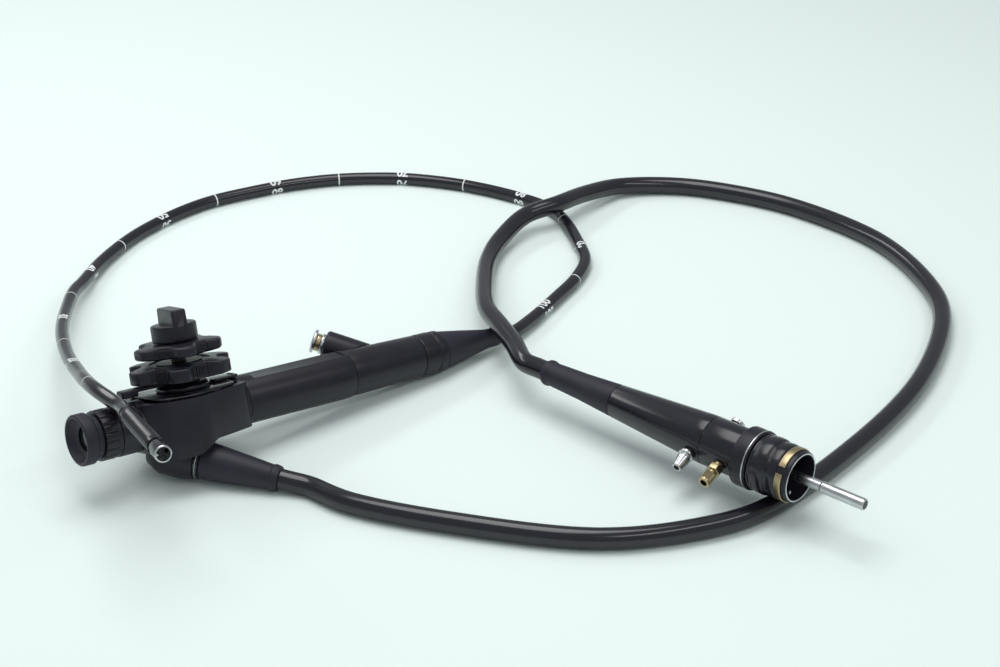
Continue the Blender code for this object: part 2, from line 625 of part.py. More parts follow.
def build_bending(kit, control):
    """The bending section: rings that hinge on riveted ears, up-down and left-right by turns, and the distal tip."""
    inner = TUBE_R - LINK_WALL
    ear_r = 1.0
    base = empty("bend_base", control, pointing(BEND_WAY, BEND_AT, BEND_ROLL))

    def room(k):
        return UD_ROOM if k % 2 == 0 else LR_ROOM

    def ear(reach, span, hole, frame):
        """A flat ear with a round end at its own origin, reaching up or down Z, a hole for the rivet if asked."""
        turns = [math.pi * i / 4 for i in range(5)]
        sign = 1 if reach > 0 else -1
        outline = [(ear_r * math.cos(t), -sign * ear_r * math.sin(t)) for t in turns]
        outline += [(-ear_r, reach), (ear_r, reach)]
        outlines = [outline, circle(0.7, 6)] if hole else [outline]
        upright = Matrix.Rotation(math.radians(90), 4, "Z") @ Matrix.Rotation(math.radians(90), 4, "X")
        return plate(outlines, *span, 0.0, frame @ upright)

    def outer_ears(target, low_edge):
        """Ears that reach down to the hinge at the ring's own origin, with their rivets."""
        extra = []
        for turn in (Matrix(), Matrix.Rotation(math.pi, 4, "Z")):
            extra.append(ear(low_edge + 0.6, (3.95, 4.6), False, turn))
            pin = [(0, 4.85), (0.7, 4.75), (0.7, 4.5), (0.45, 4.5), (0.45, 3.0), (0, 3.0)]
            extra.append(lathe(pin, 6, turn @ ALONG_X))
        return united(target, *extra)

    def inner_ears(target, top, hinge):
        """Ears inside the ring that reach up to the next hinge, with a hole for its rivet."""
        at_hinge = Matrix.Translation((0, 0, hinge * MM))
        turns = (Matrix.Rotation(math.pi / 2, 4, "Z"), Matrix.Rotation(-math.pi / 2, 4, "Z"))
        return united(
            target, *[ear(top - hinge - 0.8, (2.9, 3.62), True, at_hinge @ turn) for turn in turns]
        )

    def ring(low, high):
        return lathe([(TUBE_R, high), (TUBE_R, low), (inner, low), (inner, high)], 12)

    first = ring(GAP, FIRST_HINGE - room(0))
    first = inner_ears(first, FIRST_HINGE - room(0), FIRST_HINGE)
    first.data.transform(Matrix.Rotation(math.radians(-90), 4, "Z"))
    kit.node("bend_base_ring", kit.steel, first, base, "cord")
    patterns = []
    for k in range(2):
        top = PITCH - room(k + 1)
        shape = outer_ears(ring(room(k), top), room(k))
        patterns.append(inner_ears(shape, top, PITCH))
    parent = base
    for k in range(HINGES):
        step = FIRST_HINGE if k == 0 else PITCH
        turn = Matrix() if k == 0 else Matrix.Rotation(math.radians(90 if k % 2 else -90), 4, "Z")
        frame = Matrix.Translation((0, 0, step * MM)) @ turn
        parent = empty("hinge_%02d" % (k + 1), parent, frame)
        if k < HINGES - 1:
            kit.node(
                "bend_link_%02d" % (k + 1), kit.steel, link("copy", patterns[k % 2].data.copy()), parent,
                "cord",
            )
    for pattern in patterns:
        bpy.data.objects.remove(pattern, do_unlink=True)
    low = room(HINGES - 1)
    end = TIP_LENGTH
    tip = lathe([(0, end), (4.1, end), (4.9, end - 0.8), (4.9, end - 13), (TUBE_R, end - 13.6), (TUBE_R, low), (0, low)], 16)
    tip = cut(tip, lathe([(0, 4), (inner, 4), (inner, low - 1), (0, low - 1)], 12))
    tip = outer_ears(tip, low)
    fittings = (
        ("objective_lens", 1.6, (1.9, 1.0)), ("light_lens_a", 1.1, (-1.2, 2.8)),
        ("light_lens_b", 1.1, (0.6, -2.6)),
    )
    bores = [rod((x, y, end - 1.6), (x, y, end + 1), radius + GAP, 10) for _, radius, (x, y) in fittings]
    bores.append(rod((-2.4, -0.8, 3), (-2.4, -0.8, end + 1), 1.4, 10))
    tip = cut(tip, *bores)
    nozzle = (
        block((2.9, -2.4, end - 0.6), (4.1, -1.2, end + 1.2)),
        block((2.3, -2.0, end + 0.5), (3.1, -1.4, end + 1.2)),
    )
    kit.node("distal_tip", kit.steel, united(tip, *nozzle), parent, "cord")
    for name, radius, (x, y) in fittings:
        kit.node(name, kit.glass, rod((x, y, end - 1.3), (x, y, end - 0.1), radius, 10), parent, "cord")
    return base


def build_plug(kit):
    """The connector on the cord's far end, about its own axis."""
    lean = Matrix.Rotation(math.radians(PLUG_TURN), 4, "Z") @ Matrix.Rotation(
        math.radians(-PLUG_LIFT), 4, "Y"
    )
    axis = empty("connector_axis", None, Matrix.Translation(PLUG_AT * MM) @ lean)
    boot = [
        (10.5, PLUG_BOOT), (8.6, 30), (7.6, 5.5), (8.3, 4), (8.3, 1.5), (7.2, 0), (4.5, 0), (4.5, PLUG_BOOT)
    ]
    kit.node("connector_boot", kit.rubber, lathe(boot, 20, ALONG_X), axis, "cord")
    sleeve = [
        (15.3, PLUG_SEAM), (14.7, 118), (10.6, PLUG_BOOT + GAP), (6, PLUG_BOOT + GAP), (12.6, PLUG_SEAM)
    ]
    sleeve_body = lathe(sleeve, 22, ALONG_X)
    near = Vector((0.09, -0.957, -0.28)).normalized()
    near_at = Vector((121.0, 0.0, 0.0))
    inner, outer = along(near, near_at, (8, 20))
    sleeve_body = cut(sleeve_body, rod(inner, outer, 3.4, 12))
    kit.node("connector_sleeve", kit.gloss, sleeve_body, axis, "cord")
    fitting = [(2.3, 28.3), (3.1, 26.5), (3.4, 19), (3.1, 18.9), (3.1, 11), (1.4, 11), (1.4, 28.3)]
    spout = pointing(near, near_at)
    kit.node("suction_nozzle", kit.steel, lathe(fitting, 16, spout), axis, "cord")
    body = [(15.3, PLUG_BODY), (15.3, PLUG_SEAM + GAP), (12.6, PLUG_SEAM + GAP), (12.6, PLUG_BODY)]
    body_shell = lathe(body, 22, ALONG_X)
    air = Vector((0.056, -0.96, -0.274)).normalized()
    air_at = Vector((143.5, 0.0, 0.0))
    side_way = Vector((0.0, 0.88, 0.475)).normalized()
    side_at = Vector((136.5, 0.0, 0.0))
    body_shell = cut(
        body_shell, rod(*along(air, air_at, (8, 20)), 3.5, 12),
        rod(*along(side_way, side_at, (8, 20)), 1.4, 12),
    )
    low = [(2.4, 18.6), (4.4, 18.0), (4.4, 15.9), (3.0, 15.8), (3.0, 13.0), (1.4, 13.0), (1.4, 18.6)]
    body_shell = united(body_shell, lathe(low, 16, pointing(side_way, side_at)))
    kit.node("connector_body", kit.black, body_shell, axis, "cord")
    thread = [(2.4, 31), (3.1, 30.4)]
    for i in range(5):
        thread += [(3.4, 29.4 - 2 * i), (2.9, 28.4 - 2 * i)]
    thread += [(3.2, 18.5), (3.2, 11.5), (1.5, 11.5), (1.5, 31)]
    kit.node("air_nozzle", kit.brass, lathe(thread, 16, pointing(air, air_at)), axis, "cord")
    cup_wall = CUP_R + GAP
    flange = [
        (18.0, FLANGE_END), (18.35, FLANGE_END - 0.8), (18.35, PLUG_BODY + 1.1), (17.6, PLUG_BODY + GAP)
    ]
    flange += [(12.6, PLUG_BODY + GAP), (12.6, FLANGE_END)]
    vent_way = Vector((0.0, 0.948, 0.318)).normalized()
    vent_at = Vector((159.0, 0.0, 0.0))
    shell = cut(lathe(flange, 22, ALONG_X), rod(*along(vent_way, vent_at, (8, 24)), 1.2, 12))
    vent = [(1.8, 20.6), (3.8, 20.2), (3.8, 17.2), (2.6, 17.0), (2.6, 14.5), (1.2, 14.5), (1.2, 20.6)]
    shell = united(shell, lathe(vent, 16, pointing(vent_way, vent_at)))
    kit.node("connector_flange", kit.black, shell, axis, "cord")
    start, end = FLANGE_END + GAP, COLLAR2_END
    rim = [(16.3, end), (16.8, end - 0.6), (16.8, COLLAR1_END + 0.8), (16.4, COLLAR1_END + 0.3)]
    rim += [
        (16.4, COLLAR1_END - 0.3), (17.2, COLLAR1_END - 0.8), (17.2, start + 0.6), (16.7, start),
        (cup_wall, start), (cup_wall, end),
    ]
    kit.node("connector_collar", kit.rubber, lathe(rim, 22, ALONG_X), axis, "cord")
    band = lathe([(16.8, BRASS_END), (16.8, COLLAR2_END + GAP), (cup_wall, COLLAR2_END + GAP), (cup_wall, BRASS_END)], 22, ALONG_X)
    band = cut(
        band,
        block((COLLAR2_END, 14, -2.2), (BRASS_END + 1, 19, 2.2), Matrix.Rotation(math.radians(120), 4, "X")),
    )
    kit.node("brass_band", kit.brass, band, axis, "cord")
    start = FLANGE_END + GAP
    cup = [
        (CUP_BORE + 1.2, CUP_MOUTH), (CUP_R, CUP_MOUTH - 0.8), (CUP_R, start), (3.4, start),
        (3.4, start + 13),
    ]
    cup += [(CUP_BORE, start + 13), (CUP_BORE, CUP_MOUTH)]
    kit.node("connector_cup", kit.black, lathe(cup, 22, ALONG_X), axis, "cord")
    guide = [(3.1, ROD_END), (3.5, ROD_END - 0.6), (3.5, ROD_STEP + 0.6), (3.1, ROD_STEP), (3.1, start)]
    guide += [(1.8, start), (1.8, ROD_END - 4), (2.5, ROD_END - 4), (2.5, ROD_END)]
    kit.node("light_guide_rod", kit.steel, lathe(guide, 20, ALONG_X), axis, "cord")
    kit.node(
        "rod_glass", kit.glass, rod((ROD_END - 3.6, 0, 0), (ROD_END - 0.3, 0, 0), 2.2, 12), axis, "cord"
    )
    pin = [(0, 189), (0.7, 189), (1.1, 188), (1.1, start + 13 + GAP), (0, start + 13 + GAP)]
    kit.node(
        "contact_pin", kit.steel, lathe(pin, 10, Matrix.Translation((0, -5.0 * MM, -9.0 * MM)) @ ALONG_X),
        axis, "cord",
    )
    return axis


def seat(kit, control):
    """Puts the control section on the table with the middle of its own box over the origin."""
    bpy.context.view_layer.update()
    corners = []
    for obj, group in kit.nodes.values():
        if group == "own":
            corners += [obj.matrix_world @ vert.co for vert in obj.data.vertices]
    low = Vector([min(c[i] for c in corners) for i in range(3)])
    high = Vector([max(c[i] for c in corners) for i in range(3)])
    control.location = (-(low.x + high.x) / 2, -(low.y + high.y) / 2, -low.z)
    bpy.context.view_layer.update()


def lay_cords(kit, control, bend, plug):
    """The insertion tube and the cord, each from its boot to its other end."""

    def world(owner, place):
        return owner.matrix_world @ (Vector(place) * MM) / MM

    start = [world(control, (BOOT_END + x, 0, 0)) for x in (GAP, 6, 14)]
    end = [world(bend, (0, 0, z)) for z in (-16, -7, 0)]
    line = smooth_line([*start[1:], *INSERTION_ROUTE, *end[:2]], 21)
    kit.node("insertion_tube", kit.sheath, wire([start[0], *line, end[2]], TUBE_R, 2), None, "cord")
    start = [world(control, p) for p in along(ROOT_WAY, ROOT_AT, (ROOT_LENGTH + GAP, ROOT_LENGTH + 8, ROOT_LENGTH + 18))]
    end = [world(plug, (x, 0, 0)) for x in (-18, -8, -GAP)]
    line = smooth_line([*start[1:], *CORD_ROUTE, *end[:2]], 25)
    kit.node("universal_cord", kit.sheath, wire([start[0], *line, end[2]], CORD_R, 2), None, "cord")


def main():
    clear_scene()
    kit = Kit()
    lean = Matrix.Rotation(math.radians(NOSE_DOWN), 4, "Y") @ Matrix.Rotation(math.radians(ROLL), 4, "X")
    control = empty("control_axis", None, lean)
    build_head(kit, control)
    build_wheels(kit, control)
    build_valves(kit, control)
    build_eyepiece(kit, control)
    build_grip(kit, control)
    build_bundles(kit, control)
    bend = build_bending(kit, control)
    plug = build_plug(kit)
    seat(kit, control)
    lay_cords(kit, control, bend, plug)


main()
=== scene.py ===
"""The looks of a flexible endoscope that lies on a table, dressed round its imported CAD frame.

Lengths in the classes are in millimetres, in the axes of the sub-assembly they belong to, and so is
the clearance between neighbours. The cords' stops and the studio's places are in metres, in the world.
"""

import logging
import math
from dataclasses import dataclass, field
from enum import Enum

import bpy
from mathutils import Matrix, Vector


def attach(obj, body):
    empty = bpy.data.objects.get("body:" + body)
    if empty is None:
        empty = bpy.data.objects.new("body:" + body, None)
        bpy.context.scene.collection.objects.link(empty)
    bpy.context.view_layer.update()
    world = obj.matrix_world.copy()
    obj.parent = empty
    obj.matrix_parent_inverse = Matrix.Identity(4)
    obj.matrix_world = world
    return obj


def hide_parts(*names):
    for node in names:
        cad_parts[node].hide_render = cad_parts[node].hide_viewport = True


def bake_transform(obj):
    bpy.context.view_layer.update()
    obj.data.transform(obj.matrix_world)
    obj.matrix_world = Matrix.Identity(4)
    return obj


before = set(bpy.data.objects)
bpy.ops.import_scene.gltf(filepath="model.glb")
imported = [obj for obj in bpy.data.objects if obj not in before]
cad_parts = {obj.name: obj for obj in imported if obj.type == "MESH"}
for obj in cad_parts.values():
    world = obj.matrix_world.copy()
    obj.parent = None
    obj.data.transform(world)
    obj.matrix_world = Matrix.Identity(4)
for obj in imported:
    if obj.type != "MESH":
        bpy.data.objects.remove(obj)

log = logging.getLogger("endoscope")
logging.basicConfig(level=logging.INFO, format="%(message)s")

MM = 0.001
CLEARANCE = 0.3
FIXED = "control_section"
LINKS = tuple("bend_link_%02d" % k for k in range(1, 10))

Point2 = tuple[float, float]
Point3 = tuple[float, float, float]
Outline = list[Point2]


def pointing(way: Vector, at: Vector | Point3 = (0.0, 0.0, 0.0), roll: float = 0.0) -> Matrix:
    """Makes the matrix that turns +Z towards a direction.

    Args:
        way: The direction, in the parent's axes.
        at: Where the origin goes, in millimetres.
        roll: A turn about the direction, in degrees.

    Returns:
        The matrix, in metres.
    """
    turn = Vector((0.0, 0.0, 1.0)).rotation_difference(Vector(way)).to_matrix().to_4x4()
    return Matrix.Translation(Vector(at) * MM) @ turn @ Matrix.Rotation(math.radians(roll), 4, "Z")


def along(way: Vector, at: Vector, *stations: float) -> list[Vector]:
    """Returns points on a straight line.

    Args:
        way: The line's direction.
        at: Its start, in millimetres.
        stations: Distances from the start, in millimetres.
    """
    return [Vector(at) + Vector(way) * station for station in stations]


ALONG_X = pointing(Vector((1.0, 0.0, 0.0)))


@dataclass(frozen=True)
class Placing:
    """Where each sub-assembly lies, as the CAD part has it.

    Attributes:
        control_at: Where the wheel axis crosses the main axis, in metres.
        nose_down: How far the grip's end dips, in degrees.
        lean: How far the wheels lean back, in degrees.
        bend_at: Where the bending section starts.
        bend_way: Where it points.
        bend_roll: Its turn about its own axis, in degrees.
        plug_at: Where the connector starts.
        plug_turn: Its heading, in degrees.
        plug_lift: How far its front rises, in degrees.
        root_at: Where the cord's root starts.
        root_way: Where it points.
        port_at: Where the instrument port's axis meets the main axis.
        port_way: Where it points.
    """

    control_at: Vector = field(default_factory=lambda: Vector((-0.080323, 0.013046, 0.034099)))
    nose_down: float = 6.3
    lean: float = -20.5
    bend_at: Vector = field(default_factory=lambda: Vector((-54.8, -32.4, 14.8)))
    bend_way: Vector = field(default_factory=lambda: Vector((-0.2635, -0.9578, -0.1148)).normalized())
    bend_roll: float = 186.6
    plug_at: Vector = field(default_factory=lambda: Vector((130.8, -70.1, 27.3)))
    plug_turn: float = -79.1
    plug_lift: float = 0.97
    root_at: Vector = field(default_factory=lambda: Vector((-2.6, -11.2, -26.4)))
    root_way: Vector = field(default_factory=lambda: Vector((0.617, -0.7185, -0.320)).normalized())
    port_at: Vector = field(default_factory=lambda: Vector((143.5, 0.0, 0.0)))
    port_way: Vector = field(default_factory=lambda: Vector((-0.7071, 0.5480, 0.4469)).normalized())

    def control(self) -> Matrix:
        """Returns the control section's matrix."""
        dip = Matrix.Rotation(math.radians(self.nose_down), 4, "Y")
        lean = Matrix.Rotation(math.radians(self.lean), 4, "X")
        return Matrix.Translation(self.control_at) @ (dip @ lean)

    def root(self) -> Matrix:
        """Returns the matrix of the cord's root, +Z out along the cord."""
        return self.control() @ pointing(self.root_way, self.root_at)

    def port(self) -> Matrix:
        """Returns the instrument port's matrix, +Z out of its mouth."""
        return self.control() @ pointing(self.port_way, self.port_at)

    def bend(self) -> Matrix:
        """Returns the bending section's matrix, +Z towards the tip."""
        return self.control() @ pointing(self.bend_way, self.bend_at, self.bend_roll)

    def plug(self) -> Matrix:
        """Returns the connector's matrix, +X towards the rod's end."""
        turn = Matrix.Rotation(math.radians(self.plug_turn), 4, "Z")
        lift = Matrix.Rotation(math.radians(-self.plug_lift), 4, "Y")
        return Matrix.Translation(self.plug_at * MM) @ (turn @ lift)


PLACE = Placing()


class Grain(Enum):
    """How a surface is broken up: the scales of its fine and coarse noise, and its bump's strength."""

    MOULDED = (2600.0, 60.0, 0.16)
    POLISHED = (900.0, 45.0, 0.03)
    TURNED = (1500.0, 120.0, 0.06)
    SHEATH = (700.0, 30.0, 0.05)
    PRINTED = (1800.0, 150.0, 0.1)
    GLASS = (400.0, 80.0, 0.0)


@dataclass(frozen=True)
class Finish:
    """A procedural surface finish.

    Attributes:
        name: The material's name.
        slot: The record's material slot; not used.
        colour: The base colour, linear.
        roughness: The mean roughness.
        grain: How the surface is broken up.
        metallic: 1 for metal.
        gleam: How strongly a surface that isn't metal mirrors, 0.5 for common plastic.
    """

    name: str
    slot: str
    colour: Point3
    roughness: float
    grain: Grain
    metallic: float = 0.0
    gleam: float = 0.3

    def material(self) -> bpy.types.Material:
        """Builds the material once and returns it every time after that."""
        made = bpy.data.materials.get(self.name)
        if made is not None:
            return made
        made = bpy.data.materials.new(self.name)
        made.use_nodes = True
        made.diffuse_color = (*self.colour, 1.0)
        nodes = made.node_tree.nodes
        links = made.node_tree.links
        shader = nodes["Principled BSDF"]
        shader.inputs["Metallic"].default_value = self.metallic
        shader.inputs["Specular IOR Level"].default_value = 0.5 if self.metallic else self.gleam
        place = nodes.new("ShaderNodeTexCoord")
        fine, coarse, strength = self.grain.value
        wear = nodes.new("ShaderNodeTexNoise")
        wear.inputs["Scale"].default_value = coarse
        wear.inputs["Detail"].default_value = 4.0
        links.new(place.outputs["Object"], wear.inputs["Vector"])
        self._shade(made, shader, wear)
        self._roughen(made, shader, wear)
        if strength > 0:
            self._emboss(made, shader, place, fine, strength)
        return made

    def _shade(self, made: bpy.types.Material, shader: bpy.types.Node, wear: bpy.types.Node) -> None:
        """Lets the colour drift a little over the surface.

        Args:
            made: The material.
            shader: Its shader.
            wear: The coarse noise.
        """
        ramp = made.node_tree.nodes.new("ShaderNodeValToRGB")
        spread = 0.10 if self.metallic else 0.16
        ramp.color_ramp.elements[0].position = 0.3
        ramp.color_ramp.elements[1].position = 0.72
        ramp.color_ramp.elements[0].color = (*[c * (1 - spread) for c in self.colour], 1.0)
        ramp.color_ramp.elements[1].color = (*[min(1.0, c * (1 + spread)) for c in self.colour], 1.0)
        made.node_tree.links.new(wear.outputs["Fac"], ramp.inputs["Fac"])
        made.node_tree.links.new(ramp.outputs["Color"], shader.inputs["Base Color"])

    def _roughen(self, made: bpy.types.Material, shader: bpy.types.Node, wear: bpy.types.Node) -> None:
        """Lets the gloss drift a little, as handling leaves it.

        Args:
            made: The material.
            shader: Its shader.
            wear: The coarse noise.
        """
        scale = made.node_tree.nodes.new("ShaderNodeMapRange")
        scale.inputs["To Min"].default_value = self.roughness * 0.82
        scale.inputs["To Max"].default_value = min(1.0, self.roughness * 1.2)
        made.node_tree.links.new(wear.outputs["Fac"], scale.inputs["Value"])
        made.node_tree.links.new(scale.outputs["Result"], shader.inputs["Roughness"])

    @staticmethod
    def _emboss(
        made: bpy.types.Material, shader: bpy.types.Node, place: bpy.types.Node, fine: float, strength: float
    ) -> None:
        """Adds the fine grain as a bump.

        Args:
            made: The material.
            shader: Its shader.
            place: The texture coordinates.
            fine: The grain's scale.
            strength: The bump's strength.
        """
        nodes = made.node_tree.nodes
        links = made.node_tree.links
        noise = nodes.new("ShaderNodeTexNoise")
        noise.inputs["Scale"].default_value = fine
        noise.inputs["Detail"].default_value = 2.0
        bump = nodes.new("ShaderNodeBump")
        bump.inputs["Strength"].default_value = strength
        bump.inputs["Distance"].default_value = 0.0001
        links.new(place.outputs["Object"], noise.inputs["Vector"])
        links.new(noise.outputs["Fac"], bump.inputs["Height"])
        links.new(bump.outputs["Normal"], shader.inputs["Normal"])


@dataclass(frozen=True)
class Finishes:
    """Every finish on the instrument."""

    plastic: Finish = Finish(
        "grained_black_plastic", "black_plastic", (0.0108, 0.0098, 0.0172), 0.36, Grain.MOULDED, gleam=0.36
    )
    gloss: Finish = Finish(
        "polished_black_plastic", "black_gloss", (0.0095, 0.0088, 0.0150), 0.2, Grain.POLISHED, gleam=0.5
    )
    rubber: Finish = Finish(
        "matt_black_rubber", "black_rubber", (0.0190, 0.0178, 0.0290), 0.50, Grain.MOULDED, gleam=0.34
    )
    sheath: Finish = Finish(
        "satin_sheath", "sheath", (0.0090, 0.0083, 0.0140), 0.19, Grain.SHEATH, gleam=0.6
    )
    dark: Finish = Finish("inner_black", "black_plastic", (0.004, 0.004, 0.005), 0.5, Grain.POLISHED)
    mark: Finish = Finish("printed_white", "sheath", (0.8, 0.82, 0.82), 0.45, Grain.PRINTED)
    steel: Finish = Finish("fine_turned_steel", "steel", (0.55, 0.56, 0.57), 0.28, Grain.TURNED, 1.0)
    brass: Finish = Finish("aged_brass", "brass", (0.42, 0.34, 0.2), 0.32, Grain.TURNED, 1.0)
    glass: Finish = Finish("coated_glass", "dark_glass", (0.006, 0.008, 0.012), 0.08, Grain.GLASS, gleam=0.4)


FINISH = Finishes()


class Bench:
    """The hand tools: each piece starts as a primitive and is shaped in edit mode."""

    @staticmethod
    def clear() -> None:
        """Deselects everything."""
        bpy.ops.object.select_all(action="DESELECT")

    @staticmethod
    def only(obj: bpy.types.Object) -> None:
        """Selects one object and makes it active."""
        Bench.clear()
        obj.select_set(True)
        bpy.context.view_layer.objects.active = obj

    @staticmethod
    def close(merge: float = 1e-6) -> None:
        """Merges doubles and turns the faces outwards, in edit mode, then leaves it.

        Args:
            merge: The distance that counts as a double, in metres.
        """
        bpy.ops.mesh.select_all(action="SELECT")
        bpy.ops.mesh.remove_doubles(threshold=merge)
        bpy.ops.mesh.normals_make_consistent(inside=False)
        bpy.ops.object.mode_set(mode="OBJECT")

    @staticmethod
    def turned(profile: Outline, steps: int = 80, place: Matrix = Matrix()) -> bpy.types.Object:
        """Turns a profile about Z: a vertex is extruded along it, then spun.

        Args:
            profile: (radius, height) points, down the outer side and up the bore if there is one.
            steps: How many facets go round.
            place: Where the piece goes.

        Returns:
            The new object.
        """
        Bench.clear()
        bpy.ops.mesh.primitive_plane_add(size=0.002)
        obj = bpy.context.object
        bpy.ops.object.mode_set(mode="EDIT")
        bpy.ops.mesh.select_all(action="SELECT")
        bpy.ops.mesh.merge(type="CENTER")
        bpy.ops.transform.translate(value=(profile[0][0] * MM, 0.0, profile[0][1] * MM))
        stops = list(profile)
        if all(radius > 0 for radius, _ in profile):
            stops.append(profile[0])
        for (r0, z0), (r1, z1) in zip(stops, stops[1:]):
            step = ((r1 - r0) * MM, 0.0, (z1 - z0) * MM)
            bpy.ops.mesh.extrude_vertices_move(TRANSFORM_OT_translate={"value": step})
        bpy.ops.mesh.select_all(action="SELECT")
        bpy.ops.mesh.spin(steps=steps, angle=2 * math.pi, center=(0, 0, 0), axis=(0, 0, 1))
        Bench.close()
        obj.data.transform(place)
        return obj

    @staticmethod
    def slab(
        outline: Outline,
        low: float,
        high: float,
        edge: float = 0.0,
        place: Matrix = Matrix(),
        segments: int = 3,
        top: float = 1.0,
    ) -> bpy.types.Object:
        """Extrudes a filled circle whose vertices were moved to an outline.

        Args:
            outline: The outline's points.
            low: The height it starts at.
            high: The height it ends at.
            edge: The width of its rounded edges.
            place: Where the piece goes.
            segments: How many facets round an edge has.
            top: How much the upper face is scaled.

        Returns:
            The new object.
        """
        Bench.clear()
        bpy.ops.mesh.primitive_circle_add(vertices=len(outline), radius=0.01, fill_type="NGON")
        obj = bpy.context.object
        for vert, (x, y) in zip(obj.data.vertices, outline):
            vert.co = (x * MM, y * MM, low * MM)
        bpy.ops.object.mode_set(mode="EDIT")
        bpy.ops.mesh.select_all(action="SELECT")
        bpy.ops.mesh.extrude_region_move(TRANSFORM_OT_translate={"value": (0, 0, (high - low) * MM)})
        if top != 1.0:
            bpy.ops.transform.resize(value=(top, top, 1.0), center_override=(0.0, 0.0, high * MM))
        Bench.close()
        if edge:
            Bench.soften(obj, edge, segments)
        obj.data.transform(place)
        return obj

    @staticmethod
    def soften(obj: bpy.types.Object, width: float, segments: int = 3, angle: float = 35.0) -> None:
        """Rounds the sharp edges.

        Args:
            obj: The piece.
            width: The rounding's width.
            segments: How many facets round it has.
            angle: The least angle between faces, in degrees, that counts as sharp.
        """
        Bench.only(obj)
        bevel = obj.modifiers.new("soften", "BEVEL")
        bevel.width = width * MM
        bevel.segments = segments
        bevel.limit_method = "ANGLE"
        bevel.angle_limit = math.radians(angle)
        bpy.ops.object.modifier_apply(modifier=bevel.name)

    @staticmethod
    def combine(target: bpy.types.Object, operation: str, *others: bpy.types.Object) -> bpy.types.Object:
        """Unites, cuts or intersects a piece with others, which are used up.

        Args:
            target: The piece that stays.
            operation: UNION, DIFFERENCE or INTERSECT.
            others: The pieces it is combined with.

        Returns:
            The target.
        """
        for other in others:
            Bench.only(target)
            step = target.modifiers.new("combine", "BOOLEAN")
            step.operation = operation
            step.solver = "EXACT"
            step.object = other
            bpy.ops.object.modifier_apply(modifier=step.name)
            bpy.data.objects.remove(other, do_unlink=True)
        return target

    @staticmethod
    def joined(pieces: list[bpy.types.Object]) -> bpy.types.Object:
        """Makes several meshes one object.

        Args:
            pieces: The objects; the first one stays.
        """
        Bench.clear()
        for piece in pieces:
            piece.select_set(True)
        bpy.context.view_layer.objects.active = pieces[0]
        bpy.ops.object.join()
        return pieces[0]

    @staticmethod
    def copied(obj: bpy.types.Object, place: Matrix) -> bpy.types.Object:
        """Copies a piece with its own mesh.

        Args:
            obj: The piece.
            place: The matrix the copy's mesh is moved by.
        """
        twin = obj.copy()
        twin.data = obj.data.copy()
        twin.data.transform(place)
        bpy.context.scene.collection.objects.link(twin)
        return twin

    @staticmethod
    def dressed(
        obj: bpy.types.Object,
        name: str,
        finish: Finish,
        body: str | None = FIXED,
        nodes: tuple[str, ...] = (),
        angle: float = 32.0,
    ) -> bpy.types.Object:
        """Gives a finished piece its name, finish and body.

        Args:
            obj: The piece.
            name: Its name.
            finish: Its finish.
            body: The CAD body it moves with, or None to leave it on no body.
            nodes: The CAD nodes it stands for.
            angle: Edges sharper than this stay sharp, in degrees.

        Returns:
            The piece.
        """
        obj.name = name
        obj.data.name = name
        obj.data.materials.clear()
        obj.data.materials.append(finish.material())
        for face in obj.data.polygons:
            face.material_index = 0
        Bench.only(obj)
        bpy.ops.object.shade_smooth_by_angle(angle=math.radians(angle))
        if body is not None:
            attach(obj, body)
        if nodes:
            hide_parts(*nodes)
        log.info("%s: %d faces, on %s", name, len(obj.data.polygons), body or "two bodies")
        return obj

    @staticmethod
    def lathed(
        name: str,
        profile: Outline,
        radius: float,
        steps: int,
        place: Matrix,
        finish: Finish,
        *nodes: str,
    ) -> bpy.types.Object:
        """Turns a profile with rounded corners and dresses it as a fixed piece.

        Args:
            name: The piece's name.
            profile: (radius, height) points.
            radius: How far back its corners are rounded.
            steps: How many facets go round.
            place: Where the piece goes.
            finish: Its finish.
            nodes: The CAD nodes it stands for.

        Returns:
            The piece.
        """
        return Bench.dressed(Bench.turned(eased(profile, radius), steps, place), name, finish, nodes=nodes)


def rounded(corners: Outline, radius: float, count: int = 5, ring: bool = True) -> Outline:
    """Rounds the corners of an outline or profile.

    Args:
        corners: Its corners.
        radius: How far back along each side the rounding starts; less where a side is short.
        count: How many facets a corner gets.
        ring: Whether the outline closes on itself.

    Returns:
        The rounded outline.
    """
    points: Outline = []
    for i, corner in enumerate(corners):
        here = Vector(corner)
        if not ring and i in (0, len(corners) - 1):
            points.append(corner)
            continue
        before = Vector(corners[i - 1]) - here
        after = Vector(corners[(i + 1) % len(corners)]) - here
        back = min(radius, before.length * 0.45, after.length * 0.45)
        start = here + before.normalized() * back
        end = here + after.normalized() * back
        for k in range(count + 1):
            t = k / count
            mid = start * (1 - t) ** 2 + here * 2 * t * (1 - t) + end * t * t
            points.append((mid.x, mid.y))
    return points


def eased(profile: Outline, radius: float = 0.4) -> Outline:
    """Rounds a turned profile's corners, but not a point on the axis.

    Args:
        profile: (radius, height) points.
        radius: How far back the rounding starts.
    """
    return rounded(profile, radius, 3, all(r > 0 for r, _ in profile))


def circle(radius: float, count: int) -> Outline:
    """Returns evenly spread points on a circle."""
    turns = [2 * math.pi * i / count for i in range(count)]
    return [(radius * math.cos(turn), radius * math.sin(turn)) for turn in turns]


def rod(start: Vector, end: Vector, radius: float, sides: int = 32) -> bpy.types.Object:
    """Adds a cylinder between two points.

    Args:
        start: One end, in millimetres.
        end: The other end.
        radius: Its radius.
        sides: How many facets go round.
    """
    start, end = Vector(start), Vector(end)
    length = (end - start).length
    profile = [(0.0, length), (radius, length), (radius, 0.0), (0.0, 0.0)]
    return Bench.turned(profile, sides, pointing((end - start).normalized(), start))


